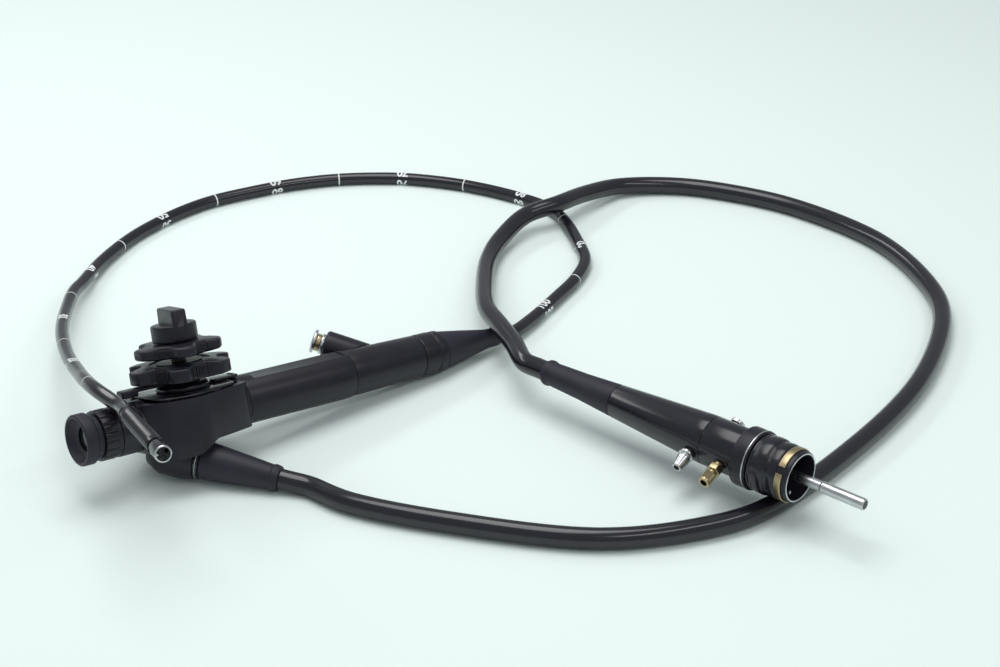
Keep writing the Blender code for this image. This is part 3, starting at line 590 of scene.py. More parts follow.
def box(low: Point3, high: Point3, place: Matrix = Matrix()) -> bpy.types.Object:
    """Adds a box between two opposite corners, in millimetres."""
    outline = [(low[0], low[1]), (high[0], low[1]), (high[0], high[1]), (low[0], high[1])]
    return Bench.slab(outline, low[2], high[2], 0.0, place)


@dataclass
class Casing:
    """The head of the control section: its drum-like casing, cover and the root of the cord.

    Attributes:
        rim: The casing's upper edge.
        floor: The casing's inner floor.
        cover_top: The cover's upper face.
        near: The end at the eyepiece.
        far: The end at the grip.
        barrel_r: The eyepiece barrel's radius.
        grip_r: The grip's radius.
        valves: The places of both valves along the main axis.
    """

    rim: float = 13.5
    floor: float = -11.5
    cover_top: float = 15.5
    near: float = -36.0
    far: float = 36.0
    barrel_r: float = 15.3
    grip_r: float = 15.5
    valves: tuple[float, float] = (-14, 8)

    def build(self) -> None:
        """Builds and dresses the pieces."""
        self._shell()
        self._cover()
        self._root()

    def _shell(self) -> None:
        """Models the casing: the common part of its plan and its side, round ends and the cord's boss."""
        plan = rounded(
            [
                (-36, -14), (-26, -23), (-5, -29.5), (14, -24), (36, -16.5), (36, 16.5), (18, 28),
                (-22, 28), (-36, 14),
            ], 7.0, 7
        )
        side = rounded(
            [(-36, 13.5), (-36, -15), (-22, -22), (-8, -20.5), (4, -14), (36, -14), (36, 13.5)], 2.0, 4
        )
        across = Matrix.Rotation(math.radians(90), 4, "X")
        shell = Bench.slab(plan, -26, self.rim)
        Bench.combine(shell, "INTERSECT", Bench.slab(side, -40, 40, 0.0, across))
        collar = Bench.turned(
            [
                (0, self.near + 9), (self.barrel_r, self.near + 9), (self.barrel_r, self.near),
                (0, self.near),
            ], 64, ALONG_X
        )
        neck = Bench.turned(
            [(0, self.far), (self.grip_r, self.far), (self.grip_r, self.far - 7), (0, self.far - 7)], 64,
            ALONG_X,
        )
        root = pointing(PLACE.root_way, PLACE.root_at)
        boss = Bench.turned(
            [(0, -0.3), (12.6, -0.3), (14.2, -7), (14.2, -22), (10, -30), (0, -30)], 64, root
        )
        Bench.combine(shell, "UNION", collar, neck, boss)
        Bench.combine(
            shell, "DIFFERENCE", Bench.turned([(0, 40), (13.0, 40), (13.0, -0.3), (0, -0.3)], 64, root)
        )
        Bench.soften(shell, 0.9, 3, 28.0)
        inside = rounded(
            [
                (-30, -12), (-24, -19.5), (-5, -26), (13, -21), (32, -11), (32, 11), (17, 24.5),
                (-20, 24.5), (-30, 12),
            ], 4.0, 3
        )
        foot = along(PLACE.root_way, PLACE.root_at, 2, -29)
        cuts = [
            Bench.slab(inside, self.floor, self.rim + 5),
            rod((self.near - 2, 0, 0), (-28, 0, 0), 9.2),
            rod((28, 0, 0), (self.far + 2, 0, 0), 12.0),
            rod(foot[0], foot[1], 3.4),
            rod((-21, 10.5, -18.5), (-17.5, 10.5, -8), 3.4),
            *(rod((x, 20, 1), (x, 31, 1), 6.4) for x in self.valves),
        ]
        Bench.combine(shell, "DIFFERENCE", *cuts)
        shell.data.transform(PLACE.control())
        Bench.dressed(shell, "casing_shell", FINISH.plastic, nodes=("control_casing",))

    def _cover(self) -> None:
        """Models the cover with its raised strip towards the grip."""
        lid = rounded(
            [(-26, -20), (-5, -27.5), (13, -22.5), (27.5, -17), (27.5, 17), (17, 26), (-21, 26), (-26, 22)],
            6.0, 7,
        )
        cover = Bench.slab(lid, self.rim + CLEARANCE, self.cover_top, 0.7)
        strip = rounded([(17.5, -7.5), (36, -5.5), (36, 5.5), (17.5, 7.5)], 3.0, 5)
        under = box((18.5, -5, self.cover_top - 0.6), (28, 5, self.cover_top + 0.9))
        Bench.combine(
            cover, "UNION", Bench.slab(strip, self.cover_top + 0.3, self.cover_top + 2.0, 0.6), under
        )
        Bench.combine(cover, "DIFFERENCE", rod((0, 0, 0), (0, 0, 30), 6.6))
        cover.data.transform(PLACE.control())
        Bench.dressed(cover, "cover_plate", FINISH.gloss, nodes=("casing_cover",))
        line = [(32.0, -3.2), (34.2, -3.2), (34.2, 3.2), (32.0, 3.2)]
        latch = Bench.slab(
            rounded(line, 0.8, 3), self.cover_top + 1.8, self.cover_top + 2.5, 0.3, PLACE.control()
        )
        Bench.dressed(latch, "strip_latch", FINISH.plastic)

    def _root(self) -> None:
        """Models the bright ring and the tapered boot that the cord leaves by."""
        place = PLACE.root()
        ring = [(12.2, 3.0), (12.4, 0.1), (5.0, 0.1), (5.0, 3.0)]
        Bench.lathed("root_ring", ring, 0.5, 96, place, FINISH.gloss, "cord_root_ring")
        trim = [(12.3, 1.8), (12.5, 1.6), (12.3, 1.4), (12.0, 1.6)]
        Bench.lathed("root_trim", trim, 0.05, 96, place, FINISH.steel)
        boot = [
            (7.5, 51.8), (8.0, 49.5), (8.3, 47.5), (7.7, 46), (9.2, 32), (11.2, 12), (11.9, 3.3),
            (5.0, 3.3), (5.0, 51.8),
        ]
        Bench.lathed("root_boot", boot, 1.2, 96, place, FINISH.rubber, "cord_root_boot")


@dataclass
class HandWheel:
    """One lobed hand wheel with its hollow shaft and drum.

    Attributes:
        name: The piece's name.
        body: The CAD body it turns with.
        node: The CAD node it stands for.
        lobes: How many lobes it has.
        tip: The radius at a lobe's tip.
        valley: The radius between lobes.
        low: Its lower face.
        high: Its upper face.
        spoke: The angle of the first lobe, in degrees.
        bore: The radius of its bore.
        sleeve: The outer radius, lower and upper end of its hollow shaft.
        drum: The lower and upper face of its drum.
        per_lobe: How many outline points a lobe has.
        flank_end: The phase at which a lobe's flank ends.
        flank: How much phase the flank takes.
        edge: The width of its rounded edges.
        thinning: How much thinner it is at the lobes' tips, as a share.
        rib_r: The radius of a finger rib.
        rib_step: The steps of the outline between ribs.
    """

    name: str
    body: str
    node: str
    lobes: int
    tip: float
    valley: float
    low: float
    high: float
    spoke: float
    bore: float
    sleeve: tuple[float, float, float]
    drum: tuple[float, float]
    per_lobe: int = 28
    flank_end: float = 0.37
    flank: float = 0.25
    edge: float = 1.8
    thinning: float = 0.24
    rib_r: float = 0.7
    rib_step: float = 1.9

    def radius(self, phase: float) -> float:
        """Returns the radius at a phase of 0 to 1 from one lobe to the next."""
        off = abs(phase - round(phase))
        share = min(1.0, max(0.0, (self.flank_end - off) / self.flank))
        share = share * share * (3 - 2 * share)
        return self.valley + (self.tip - self.valley) * share

    def spot(self, step: float) -> tuple[float, float]:
        """Returns the point of the outline at a number of steps round it."""
        angle = math.radians(self.spoke) + 2 * math.pi * step / (self.lobes * self.per_lobe)
        radius = self.radius(step / self.per_lobe)
        return radius * math.cos(angle), radius * math.sin(angle)

    def build(self) -> None:
        """Builds the wheel with its shaft and its drum, thins its lobes, and builds its ribs."""
        outline = [self.spot(step) for step in range(self.lobes * self.per_lobe)]
        wheel = Bench.slab(outline, self.low, self.high, self.edge, segments=4)
        Bench.combine(wheel, "DIFFERENCE", *self._recesses())
        sleeve_r, start, end = self.sleeve
        tube = Bench.turned([(sleeve_r, end), (sleeve_r, start), (self.bore, start), (self.bore, end)], 48)
        hub = self.bore + 0.4
        drum = Bench.turned(
            eased([(9, self.drum[1]), (9, self.drum[0]), (hub, self.drum[0]), (hub, self.drum[1])]), 64
        )
        Bench.combine(wheel, "UNION", tube, drum)
        middle = (self.low + self.high) / 2 * MM
        for vert in wheel.data.vertices:
            out = math.hypot(vert.co.x, vert.co.y) / MM - self.valley
            share = min(1.0, max(0.0, out / (self.tip - self.valley)))
            vert.co.z = middle + (vert.co.z - middle) * (1 - self.thinning * share)
        wheel.data.transform(PLACE.control())
        Bench.dressed(wheel, self.name, FINISH.plastic, self.body, (self.node,))
        self._ribs()

    def _recesses(self) -> list[bpy.types.Object]:
        """Returns the cutters of the bore and of the recess for the friction disc."""
        bore = rod((0, 0, self.low - 2), (0, 0, self.high + 2), self.bore)
        if self.body == "lr_knob":
            well = [(0, self.high + 1), (12.2, self.high + 1), (12.2, 41.2), (0, 41.2)]
            return [bore, Bench.turned(well, 64)]
        ring = [(13.6, 26.0), (13.6, self.low - 1), (6.6, self.low - 1), (6.6, 26.0)]
        dish = [
            (self.valley - 4, self.high + 1), (self.valley - 4.6, self.high - 0.8),
            (self.valley - 9, self.high - 1.2), (self.valley - 9, self.high + 1),
        ]
        return [bore, Bench.turned(ring, 64), Bench.turned(dish, 64)]

    def _ribs(self) -> None:
        """Sets fine upright ribs into each valley, where the fingers push."""
        middle = (self.low + self.high) / 2
        half = (self.high - self.low) / 2 - self.edge
        shape = [(0, half), (self.rib_r, half - 0.6), (self.rib_r, 0.6 - half), (0, -half)]
        rib = Bench.turned(shape, 12)
        ribs = []
        for lobe in range(self.lobes):
            for k in range(-3, 4):
                x, y = self.spot((lobe + 0.5) * self.per_lobe + k * self.rib_step)
                ribs.append(Bench.copied(rib, Matrix.Translation(Vector((x, y, middle)) * MM)))
        bpy.data.objects.remove(rib, do_unlink=True)
        ribs = Bench.joined(ribs)
        ribs.data.transform(PLACE.control())
        Bench.dressed(ribs, self.name + "_ribs", FINISH.plastic, self.body)


@dataclass
class WheelStack:
    """Everything on the wheel axis: post, seat, both wheels, both brakes and the pull wires' drums.

    Attributes:
        seat_top: The seat's upper face.
        knob_low: The brake knob's lower face.
        knob_base: The top of its round base.
        knob_top: The top of its bar.
        knob_r: Its base's radius.
        knob_turn: How its bar is turned, in degrees.
    """

    seat_top: float = 20.0
    knob_low: float = 45.0
    knob_base: float = 55.5
    knob_top: float = 64.6
    knob_r: float = 13.8
    knob_turn: float = -98.0

    def build(self) -> None:
        """Builds and dresses the pieces, from the casing upwards."""
        seat = [
            (14.5, self.seat_top), (16.5, self.seat_top - 2), (16.5, 15.8), (6.4, 15.8),
            (6.4, self.seat_top),
        ]
        Bench.lathed("wheel_collar", seat, 0.6, 96, PLACE.control(), FINISH.gloss, "wheel_seat")
        HandWheel(
            "up_down_wheel", "ud_knob", "ud_wheel", 6, 32.5, 23.0, 22.6, 32.6, 2.6, 4.7, (6.0, 5.5, 27.1),
            (6.0, 11.0),
        ).build()
        HandWheel(
            "left_right_wheel", "lr_knob", "lr_wheel", 5, 27.0, 19.5, 36.5, 44.5, -106.4, 3.1,
            (4.4, -1.5, 37.5), (-1.5, 3.5),
        ).build()
        self._discs()
        self._lever()
        self._knob()

    def _discs(self) -> None:
        """Models the post with its upper friction disc, and the lower disc."""
        post = [
            (0, 54), (2.8, 54), (2.8, 44.4), (11.8, 44.4), (11.8, 41.5), (2.8, 41.5), (2.8, -2.7),
            (9, -2.7), (9, -4.7), (0, -4.7),
        ]
        Bench.lathed("post", post, 0.3, 64, PLACE.control(), FINISH.steel, "knob_post")
        disc = [(13.2, 25.6), (13.2, 22.9), (6.9, 22.9), (6.9, 25.6)]
        Bench.lathed("lower_disc", disc, 0.3, 64, PLACE.control(), FINISH.steel, "ud_brake_disc")

    def _lever(self) -> None:
        """Models the lower wheel's brake lever: a ring, an arm and a paddle for the thumb."""
        arm = rounded([(-8, -5), (-30, -4.2), (-42, -4.8), (-42, 4.8), (-30, 4.2), (-8, 5)], 2.5, 4)
        lever = Bench.slab(arm, 20.3, 22.3, 0.5)
        paddle = rounded([(-31, -4.2), (-42, -4.8), (-42, 4.8), (-31, 4.2)], 2.0, 5)
        ring = Bench.turned([(11, 22.3), (11, 20.3), (3, 20.3), (3, 22.3)], 64)
        Bench.combine(lever, "UNION", Bench.slab(paddle, 17.9, 22.1, 0.9), ring)
        Bench.combine(lever, "DIFFERENCE", rod((0, 0, 17), (0, 0, 25), 6.3))
        lever.data.transform(PLACE.control())
        Bench.dressed(lever, "brake_lever", FINISH.plastic, "ud_lever", ("ud_brake_lever",))

    def _knob(self) -> None:
        """Models the upper wheel's brake knob: a round base with an upright bar across it."""
        base = [
            (0, self.knob_base), (self.knob_r, self.knob_base), (self.knob_r, self.knob_low),
            (0, self.knob_low),
        ]
        base = Bench.turned(rounded(base, 1.4, 4, False), 96)
        turn = Matrix.Rotation(math.radians(self.knob_turn), 4, "Z")
        bar = rounded([(-14.0, -4.9), (14.0, -4.9), (14.0, 4.9), (-14.0, 4.9)], 1.6, 4)
        Bench.combine(base, "UNION", Bench.slab(bar, self.knob_low + 0.6, self.knob_top, 1.1, turn, 3, 0.93))
        Bench.combine(base, "DIFFERENCE", rod((0, 0, self.knob_low - 2), (0, 0, 54.5), 3.1))
        base.data.transform(PLACE.control())
        Bench.dressed(base, "brake_knob", FINISH.plastic, "lr_brake", ("lr_brake_knob",))


@dataclass
class Valve:
    """A valve cylinder in the head's far side and its push button.

    Attributes:
        name: The valve's name, which its nodes and body start with.
        x: Its place along the main axis.
        finish: The button's finish.
        height: Its height over the main axis.
    """

    name: str
    x: float
    finish: Finish
    height: float = 1.0

    def build(self) -> None:
        """Builds and dresses both pieces."""
        place = PLACE.control() @ pointing(Vector((0, 1, 0)), (self.x, 0, self.height))
        wall = [(7.2, 31.6), (7.2, 28.3), (6.0, 28.3), (6.0, 13.0), (4.4, 13.0), (4.4, 31.6)]
        Bench.lathed(
            self.name + "_valve_rim", wall, 0.5, 64, place, FINISH.steel, self.name + "_cylinder"
        )
        cap = [
            (0, 38.4), (3.2, 38.5), (5.2, 39.2), (6.6, 38.4), (6.6, 36.0), (4.1, 36.0), (4.1, 17.5),
            (0, 17.5),
        ]
        button = Bench.turned(rounded(cap, 0.6, 3, False), 64, place)
        Bench.dressed(
            button, self.name + "_valve_button", self.finish, self.name + "_valve", (self.name + "_button",)
        )


@dataclass
class Eyepiece:
    """Barrel, dioptre ring, eyecup and lens.

    Attributes:
        face: The eyecup's outer face.
        ring_near: The dioptre ring's outer end.
        ring_far: Its inner end.
        ribs: How many grip ribs it has.
    """

    face: float = -73.7
    ring_near: float = -61.2
    ring_far: float = -50.4
    ribs: int = 18

    def build(self) -> None:
        """Builds and dresses the pieces."""
        place = PLACE.control() @ ALONG_X
        barrel = [(15.3, -36.3), (15.3, -50.1), (12.0, -50.1), (12.0, -63.5), (9.2, -63.5), (9.2, -36.3)]
        shell = Bench.turned(eased(barrel, 0.8), 96, ALONG_X)
        bump = box((-49.8, -2.2, 13.5), (-45.1, 2.2, 16.2))
        Bench.soften(bump, 0.5, 3)
        Bench.combine(shell, "UNION", bump)
        shell.data.transform(PLACE.control())
        Bench.dressed(shell, "eyepiece_shell", FINISH.plastic, nodes=("eyepiece_barrel",))
        self._ring(place)
        cup = [
            (12.3, -61.8), (13.5, -61.8), (13.5, -65.2), (15.5, -66.4), (15.5, -72.9), (14.6, self.face),
            (13.4, self.face), (12.6, -71.6), (10.6, -69.4), (7.3, -68.6), (7.3, -67.9), (8.5, -67.9),
            (8.5, -63.8), (12.3, -63.8),
        ]
        Bench.lathed("eyecup_rubber", cup, 0.5, 96, place, FINISH.rubber, "eyecup")
        lens = [
            (0, -64.6), (8.2, -64.6), (8.2, -67.6), (7.0, -67.6), (5.6, -67.95), (4.0, -68.2),
            (2.0, -68.36), (0, -68.4),
        ]
        Bench.dressed(Bench.turned(lens, 64, place), "ocular", FINISH.glass, nodes=("ocular_lens",))

    def _ring(self, place: Matrix) -> None:
        """Models the dioptre ring with its grip ribs.

        Args:
            place: The eyepiece axis.
        """
        count = self.ribs * 10
        outline: Outline = []
        for i in range(count):
            phase = (i % 10) / 10
            radius = 14.25 + 0.95 * min(1.0, max(0.0, 2.2 * math.sin(math.pi * phase)))
            angle = 2 * math.pi * i / count
            outline.append((radius * math.cos(angle), radius * math.sin(angle)))
        ring = Bench.slab(outline, self.ring_near, self.ring_far - 2.4, 0.3)
        low = self.ring_far - 3
        band = [(15.0, self.ring_far), (15.0, low), (12.6, low), (12.6, self.ring_far)]
        Bench.combine(ring, "UNION", Bench.turned(eased(band), 96))
        Bench.combine(
            ring, "DIFFERENCE", rod((0, 0, self.ring_near - 2), (0, 0, self.ring_far + 2), 12.3, 64)
        )
        ring.data.transform(place)
        Bench.dressed(ring, "dioptre_grip", FINISH.plastic, "dioptre", ("dioptre_ring",))


@dataclass
class Grip:
    """Grip shells, collar, boot and the instrument port.

    Attributes:
        step: The seam between both shells.
        end: The rear shell's end.
        collar_end: The collar's end.
        boot_end: The boot's end.
        facet_level: How far the flat lies from the main axis.
        facet_turn: How the flat is turned about the main axis, in degrees.
    """

    step: float = 114.0
    end: float = 169.0
    collar_end: float = 187.0
    boot_end: float = 236.3
    facet_level: float = 14.0
    facet_turn: float = 9.0

    def build(self) -> None:
        """Builds and dresses the pieces."""
        place = PLACE.control() @ ALONG_X
        front = [(15.2, self.step), (15.5, self.step - 8), (15.5, 36.3), (13.2, 36.3), (13.2, self.step)]
        shell = Bench.turned(eased(front, 0.6), 96, ALONG_X)
        facet = Matrix.Rotation(math.radians(self.facet_turn), 4, "X")
        flat = rounded([(44, -8.5), (111, -8.5), (111, 8.5), (44, 8.5)], 4.0, 5)
        Bench.combine(shell, "DIFFERENCE", Bench.slab(flat, self.facet_level, 22, 0.0, facet))
        Bench.soften(shell, 0.25, 2, 20.0)
        shell.data.transform(PLACE.control())
        Bench.dressed(shell, "front_grip", FINISH.plastic, nodes=("grip_front",), angle=24.0)
        rear = [
            (13.85, self.end), (14.75, self.step + 8.3), (14.75, self.step + CLEARANCE),
            (12.0, self.step + CLEARANCE), (12.0, self.end),
        ]
        shell = Bench.turned(eased(rear, 0.8), 96, ALONG_X)
        inner, outer = along(PLACE.port_way, PLACE.port_at, 4, 25)
        Bench.combine(shell, "DIFFERENCE", rod(inner, outer, 2.3))
        shell.data.transform(PLACE.control())
        Bench.dressed(shell, "rear_grip", FINISH.plastic, nodes=("grip_rear",))
        collar = [
            (13.2, self.collar_end), (13.6, 186.3), (13.6, 181.8), (13.0, 181.2), (13.0, 180.6),
            (13.9, 180), (13.9, 170.3), (13.6, self.end + CLEARANCE), (9, self.end + CLEARANCE),
            (8, self.collar_end),
        ]
        Bench.lathed("collar", collar, 0.5, 96, place, FINISH.plastic, "grip_collar")
        boot = [
            (5.7, self.boot_end), (6.3, 234.3), (6.3, 227.3), (7.2, 222), (9.6, 208),
            (12.9, self.collar_end + CLEARANCE), (7, self.collar_end + CLEARANCE), (4.2, 206),
            (4.2, self.boot_end),
        ]
        Bench.lathed("tube_boot", boot, 3.0, 96, place, FINISH.rubber, "insertion_boot")
        self._port()

    def _port(self) -> None:
        """Models the branch, cut to the grip's round side, and its flanged mouth."""
        branch = [(8.6, 40), (9.6, 38.6), (9.9, 12), (2.3, 12), (2.3, 40)]
        piece = Bench.turned(eased(branch, 0.8), 64, pointing(PLACE.port_way, PLACE.port_at))
        Bench.combine(piece, "DIFFERENCE", rod((100, 0, 0), (190, 0, 0), 15.05, 96))
        piece.data.transform(PLACE.control())
        Bench.dressed(piece, "branch", FINISH.plastic, nodes=("port_branch",))
        mouth = [
            (6.2, 48), (7.7, 47.2), (7.7, 45.8), (5.2, 45.2), (5.2, 42.6), (6.6, 42.0), (6.6, 40.3),
            (2.1, 40.3), (2.1, 46.5), (2.6, 48),
        ]
        Bench.lathed("port_mouth", mouth, 0.3, 64, PLACE.port(), FINISH.steel, "instrument_port")
        band = [(5.7, 45.1), (5.7, 42.8), (5.0, 42.8), (5.0, 45.1)]
        Bench.lathed("port_band", band, 0.2, 64, PLACE.port(), FINISH.brass)


@dataclass
class BendingSection:
    """The rubber over the bending section, in one part per hinge, and the distal tip.

    Attributes:
        hinges: How many hinges it has.
        first: How far the first hinge stands from the section's ring.
        pitch: The distance between hinges.
        tip_length: How far the tip's face stands from the last hinge.
        skin: The rubber's outer radius.
        skin_bore: Its inner radius.
        folds: How many folds it has at each hinge.
        fold_depth: How deep they are.
    """

    hinges: int = 10
    first: float = 5.0
    pitch: float = 7.3
    tip_length: float = 19.3
    skin: float = 5.0
    skin_bore: float = 4.68
    folds: int = 5
    fold_depth: float = 0.22

    def station(self, hinge: int) -> float:
        """Returns how far a hinge stands from the section's ring, counting from 1."""
        return self.first + (hinge - 1) * self.pitch

    def body(self, link: int) -> str:
        """Returns the CAD body after so many hinges."""
        if link == 0:
            return FIXED
        return "tip" if link == self.hinges else "bend_%02d" % link

    def build(self) -> None:
        """Builds and dresses the pieces."""
        place = PLACE.bend()
        for hinge in range(1, self.hinges + 1):
            middle = self.station(hinge)
            low = 0.6 if hinge == 1 else middle - self.pitch / 2
            high = middle + self.pitch / 2 - (0 if hinge < self.hinges else 1.4)
            self._skin(hinge, low, high, place)
        binding = [(5.25, 3.4), (5.35, 1.6), (4.7, 0.5), (4.55, 0.5), (4.55, 3.4)]
        Bench.lathed("bend_binding", binding, 0.4, 64, place, FINISH.gloss)
        self._tip(place)

    def _skin(self, hinge: int, low: float, high: float, place: Matrix) -> None:
        """Models the rubber round one hinge, with its fine folds.

        Args:
            hinge: The hinge's number.
            low: The end nearer the tube.
            high: The end nearer the tip.
            place: The section's axis.
        """
        steps = self.folds * 4
        outer: Outline = []
        for k in range(steps + 1):
            z = low + (high - low) * k / steps
            outer.append((self.skin - self.fold_depth * (1 - math.cos(2 * math.pi * k / 4)) / 2, z))
        profile = list(reversed(outer)) + [(self.skin_bore, low), (self.skin_bore, high)]
        skin = Bench.turned(profile, 48, place)
        name = "bend_skin_%02d" % hinge
        Bench.dressed(skin, name, FINISH.sheath, None)
        self.body(hinge - 1)
        self.body(hinge)
        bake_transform(skin)

    def _tip(self, place: Matrix) -> None:
        """Models the distal tip, its dark face plate, lenses and nozzle.

        Args:
            place: The section's axis.
        """
        here = place @ Matrix.Translation((0, 0, self.station(self.hinges) * MM))
        end = self.tip_length
        shell = [
            (4.88, end - 0.75), (4.88, end - 13), (4.5, end - 13.6), (4.5, 3.0), (3.9, 3.0),
            (3.9, end - 0.75),
        ]
        shell = Bench.turned(eased(shell, 0.25), 64)
        shell.data.transform(here)
        Bench.dressed(shell, "tip_shell", FINISH.gloss, "tip", ("distal_tip",))
        rim = eased([(4.0, end + 0.02), (4.45, end - 0.1), (4.9, end - 0.7), (3.9, end - 0.7)], 0.1)
        rim = Bench.turned(rim, 64)
        rim.data.transform(here)
        Bench.dressed(rim, "tip_rim", FINISH.steel, "tip")
        face = Bench.turned(
            eased([(0, end - 0.15), (3.88, end - 0.15), (3.88, end - 6), (0, end - 6)], 0.2), 64
        )
        fittings = (
            ("front_lens", 1.6, (1.9, 1.0)), ("lamp_lens_a", 1.1, (-1.2, 2.8)),
            ("lamp_lens_b", 1.1, (0.6, -2.6)),
        )
        bores = [rod((x, y, end - 1.6), (x, y, end + 1), radius + 0.1) for _, radius, (x, y) in fittings]
        Bench.combine(face, "DIFFERENCE", *bores, rod((-2.4, -0.8, end - 5), (-2.4, -0.8, end + 1), 1.3))
        face.data.transform(here)
        Bench.dressed(face, "tip_face", FINISH.dark, "tip")
        for (name, radius, (x, y)), node in zip(
            fittings, ("objective_lens", "light_lens_a", "light_lens_b")
        ):
            dome = [
                (0, end + 0.02), (radius * 0.5, end - 0.04), (radius * 0.85, end - 0.16),
                (radius, end - 0.3), (radius, end - 1.5), (0, end - 1.5),
            ]
            lens = Bench.turned(dome, 32)
            lens.data.transform(here @ Matrix.Translation((x * MM, y * MM, 0)))
            Bench.dressed(lens, name, FINISH.glass, "tip", (node,))
        nozzle = box((2.9, -2.4, end - 0.6), (3.7, -1.2, end + 1.1))
        spout = box((2.4, -2.0, end + 0.5), (3.1, -1.4, end + 1.1))
        Bench.combine(nozzle, "UNION", spout)
        Bench.soften(nozzle, 0.15, 2)
        nozzle.data.transform(here)
        Bench.dressed(nozzle, "washing_nozzle", FINISH.steel, "tip")


